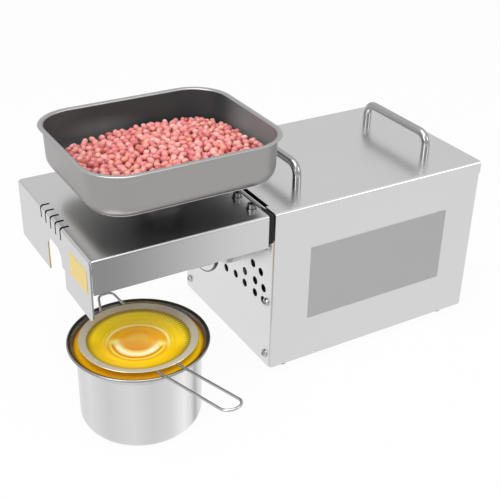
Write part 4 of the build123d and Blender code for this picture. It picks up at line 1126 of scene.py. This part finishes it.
# oil: a rippled pool in the strainer and a ring of oil in the pot round it
oil = {
    "gap": 0.5 * mm,
    "levelDrop": 0.2 * mm,
    "poolSink": 0.3 * mm,
    "ripple": 0.28 * mm,
    "rippleStart": 9.0 * mm,
    "ripplePitch": 7.0 * mm,
    "rippleMiddle": 20.0 * mm,
    "rippleSpread": 11.0 * mm,
    "rings": 60,
    "bowlRings": 14,
    "dishRings": 10,
    "sides": 128,
    "outerGap": 0.8 * mm,
    "dishRim": 1.0 * mm,
    "wallGap": 0.3 * mm,
    "floorHeight": 1.4 * mm,
    "meniscus": 0.8 * mm,
    "meniscusRise": 0.2 * mm,
    "viewYaw": 31.3,
    "grain": 60.0,
    "poolRough": 0.08,
    "potRough": 0.1,
    "roughSwing": 0.05,
    "poolBump": 0.06,
    "potBump": 0.05,
    "bumpDepth": 1.0 * mm,
    # painted light: how strongly the oil glows in its own colour
    "glow": 0.16,
    "specular": 0.3,
    "softness": 0.1,
    "softReach": Vector((10.0, 6.0, 1.0)) * mm,
}
# the swirl's shares are of the pool's radius
swirl = {
    "aside": Vector((-2.8, -4.6, 0.0)) * mm,
    "wobble": 0.05,
    "nearToFar": (-0.22, 0.16),
    "highlightAside": 20.0 * mm,
    "highlightRadius": 6.5 * mm,
    "highlightColour": (1.0, 0.84, 0.24),
    "lineCount": 96,
    "lineThin": 0.1,
    "lineFade": (0.78, 1.0),
    "lineRight": (0.0, 0.7),
    "lineDepth": 0.75,
    "lineColour": (0.16, 0.12, 0.01),
    "rimShare": 0.86,
    "rimShadeColour": (0.30, 0.22, 0.012),
}
# what the swirling oil shows from its middle to its edge, on the far half and on the near half of the pool:
# its own ambers, with painted highlights and reflections in the bright rings
farStops = [(0.0, (0.84, 0.44, 0.06)), (0.2, (0.92, 0.52, 0.07)), (0.34, (0.90, 0.40, 0.015)),
            (0.47, (0.92, 0.46, 0.012)), (0.55, (0.86, 0.42, 0.01)), (0.585, (1.0, 0.86, 0.36)),
            (0.61, (1.0, 0.80, 0.16)), (0.635, (0.80, 0.46, 0.008)), (0.665, (1.0, 0.76, 0.04)),
            (0.70, (0.84, 0.56, 0.008)), (0.74, (0.98, 0.66, 0.012)), (0.9, (1.0, 0.72, 0.02)),
            (1.0, (1.0, 0.72, 0.02))]
nearStops = [(0.0, (0.78, 0.34, 0.035)), (0.24, (0.76, 0.30, 0.03)), (0.31, (0.92, 0.62, 0.14)),
             (0.37, (1.0, 0.93, 0.66)), (0.42, (1.0, 0.92, 0.50)), (0.455, (0.86, 0.46, 0.03)),
             (0.485, (0.55, 0.14, 0.006)), (0.515, (0.95, 0.70, 0.08)), (0.54, (0.90, 0.60, 0.02)),
             (0.57, (0.72, 0.34, 0.006)), (0.61, (0.94, 0.58, 0.008)), (0.75, (0.82, 0.50, 0.005)),
             (0.90, (0.66, 0.42, 0.005)), (1.0, (0.56, 0.37, 0.008))]
# the deeper oil in the pot, from left to right, and the painted shade where it meets the wall
deepOil = {
    "ambers": [(0.0, (0.72, 0.42, 0.006)), (0.35, (0.66, 0.30, 0.004)), (0.7, (0.70, 0.34, 0.004)),
               (1.0, (0.86, 0.58, 0.01))],
    "rimShare": 0.94,
    "rimShadeColour": (0.42, 0.17, 0.002),
}


def poolNodes(tree, radius, aside):
    # the distance from the pool's middle as a share of its radius, and its parts across and along the view
    mapped = addNode(tree, "ShaderNodeMapping", {
        "Vector": objectPlace(tree), "Location": (potCentre.x + aside.x, potCentre.y + aside.y, 0),
        "Rotation": (0, 0, -math.radians(oil["viewYaw"])), "Scale": (radius, radius, 1)},
        vector_type="TEXTURE")
    parts = splitNode(tree, mapped.outputs[0])
    across, along = parts["X"], parts["Y"]
    square = mathNode(tree, "MULTIPLY_ADD", across, across, squareNode(tree, along))
    return mathNode(tree, "SQRT", square), across, along


def newOil(name, rough):
    return newMaterial(name, grainGroup, {
        "Scale": oil["grain"], "Base Rough": rough, "Rough Swing": oil["roughSwing"]})


def paintRimShade(material, radius, look):
    # painted shade: the rim of a pool of oil is painted darker than its middle
    rim = patch(material, potCentre, (1, 1, 0), radius, radius * look["rimShare"])
    overlay(material, [rim], look["rimShadeColour"])


def finishOil(tree, shader, grain, bump):
    # painted light: the oil glows faintly in its own colour
    glow = shader.inputs["Base Color"].links[0].from_socket
    feed(tree, shader, {
        "Roughness": grain["Roughness"], "Emission Color": glow, "Emission Strength": oil["glow"],
        "Specular IOR Level": oil["specular"], "Subsurface Weight": oil["softness"],
        "Subsurface Radius": oil["softReach"]})
    addRelief(tree, shader, grain["Height"], bump, oil["bumpDepth"])


def swirlMaterial(radius):
    material, tree, shader, grain = newOil("clearOil", oil["poolRough"])
    far, across, along = poolNodes(tree, radius, swirl["aside"])
    # a slow wobble keeps the rings from being true circles
    wobble = mathNode(tree, "SUBTRACT", grain["Shade"], 0.5)
    rings = mathNode(tree, "MULTIPLY_ADD", wobble, swirl["wobble"], far)
    half = rangeNode(tree, along, *swirl["nearToFar"])
    colours = mixNode(tree, half, colourRamp(tree, rings, nearStops), colourRamp(tree, rings, farStops))
    feed(tree, shader, {"Base Color": colours})
    # painted highlights lie on both sides of the swirl
    turn = math.radians(oil["viewYaw"])
    sideways = Vector((math.cos(turn), -math.sin(turn), 0)) * swirl["highlightAside"]
    for side in (-1, 1):
        spot = potCentre + swirl["aside"] + sideways * side
        overlay(material, [patch(material, spot, (1, 1, 0), 0, swirl["highlightRadius"])], swirl["highlightColour"])
    # the woven bowl shows through the thin edge to the right as fine dark lines
    angle = mathNode(tree, "ARCTAN2", along, across)
    wave = mathNode(tree, "SINE", mathNode(tree, "MULTIPLY", angle, swirl["lineCount"]))
    lines = mathNode(tree, "GREATER_THAN", wave, swirl["lineThin"])
    edge = rangeNode(tree, far, *swirl["lineFade"], kind="LINEAR")
    right = rangeNode(tree, across, *swirl["lineRight"], 0.0, swirl["lineDepth"], "LINEAR")
    overlay(material, [lines, edge, right], swirl["lineColour"])
    paintRimShade(material, radius, swirl)
    finishOil(tree, shader, grain, oil["poolBump"])
    return material


def deepOilMaterial(radius):
    material, tree, shader, grain = newOil("deepOil", oil["potRough"])
    across = poolNodes(tree, radius, Vector((0, 0, 0)))[1]
    side = mathNode(tree, "MULTIPLY_ADD", across, 0.5, 0.5)
    feed(tree, shader, {"Base Color": colourRamp(tree, side, deepOil["ambers"])})
    paintRimShade(material, radius, deepOil)
    finishOil(tree, shader, grain, oil["potBump"])
    return material


def makePool():
    # the pool's rippled top from its middle to its edge, then down along the bowl
    ballRadius, ballHeight = bowlSphere()[1:]
    level = bandLow.z - oil["levelDrop"]
    inside = ballRadius - oil["gap"]
    edge = math.sqrt(inside ** 2 - (ballHeight - level) ** 2)
    profile = []
    for step in range(oil["rings"] + 1):
        radius = edge * step / oil["rings"]
        wave = 0.0
        if radius > oil["rippleStart"]:
            phase = (radius - oil["rippleStart"]) / oil["ripplePitch"] * math.tau
            spread = (radius - oil["rippleMiddle"]) ** 2 / (2 * oil["rippleSpread"] ** 2)
            wave = oil["ripple"] * math.sin(phase) * math.exp(-spread)
        profile.append((radius, level - oil["poolSink"] + wave))
    startAngle = math.asin(edge / inside)
    for step in range(1, oil["bowlRings"] + 1):
        angle = startAngle * (1 - step / oil["bowlRings"])
        profile.append((inside * math.sin(angle), ballHeight - inside * math.cos(angle)))
    mesh = turned("strainerOil", potCentre, profile, oil["sides"])
    addPiece("strainerOil", mesh, "strainer", "oil", "strainer_oil", swirlMaterial(edge))


def makePotOil():
    # the ring of oil in the pot, from under the strainer's bowl out to the pot's wall and down to its floor
    ballRadius, ballHeight = bowlSphere()[1:]
    top, floor = potOilHigh.z, oil["floorHeight"]
    outEdge = (potOilHigh.x - potOilLow.x) / 2
    outside = ballRadius + oil["outerGap"]
    inEdge = math.sqrt(outside ** 2 - (ballHeight - top) ** 2)
    wall = pot["body"] - pot["wall"] - oil["wallGap"]
    dishStart = math.asin(inEdge / outside)
    angles = [dishStart * s / oil["dishRings"] for s in range(oil["dishRings"] + 1)]
    dish = [(outside * math.sin(a), ballHeight - outside * math.cos(a)) for a in angles]
    ring = [(inEdge + oil["dishRim"], top), (outEdge - oil["meniscus"], top),
            (outEdge, top + oil["meniscusRise"]), (wall, potHigh.z - pot["flareDrop"]),
            (wall, pot["floorRadius"]), (wall - pot["floorRadius"], floor), (0, floor)]
    mesh = turned("potOil", potCentre, [*dish, *ring], oil["sides"])
    addPiece("potOil", mesh, "pot", "oil", "pot_oil", deepOilMaterial(outEdge))


makePool()
makePotOil()
print("oil poured")
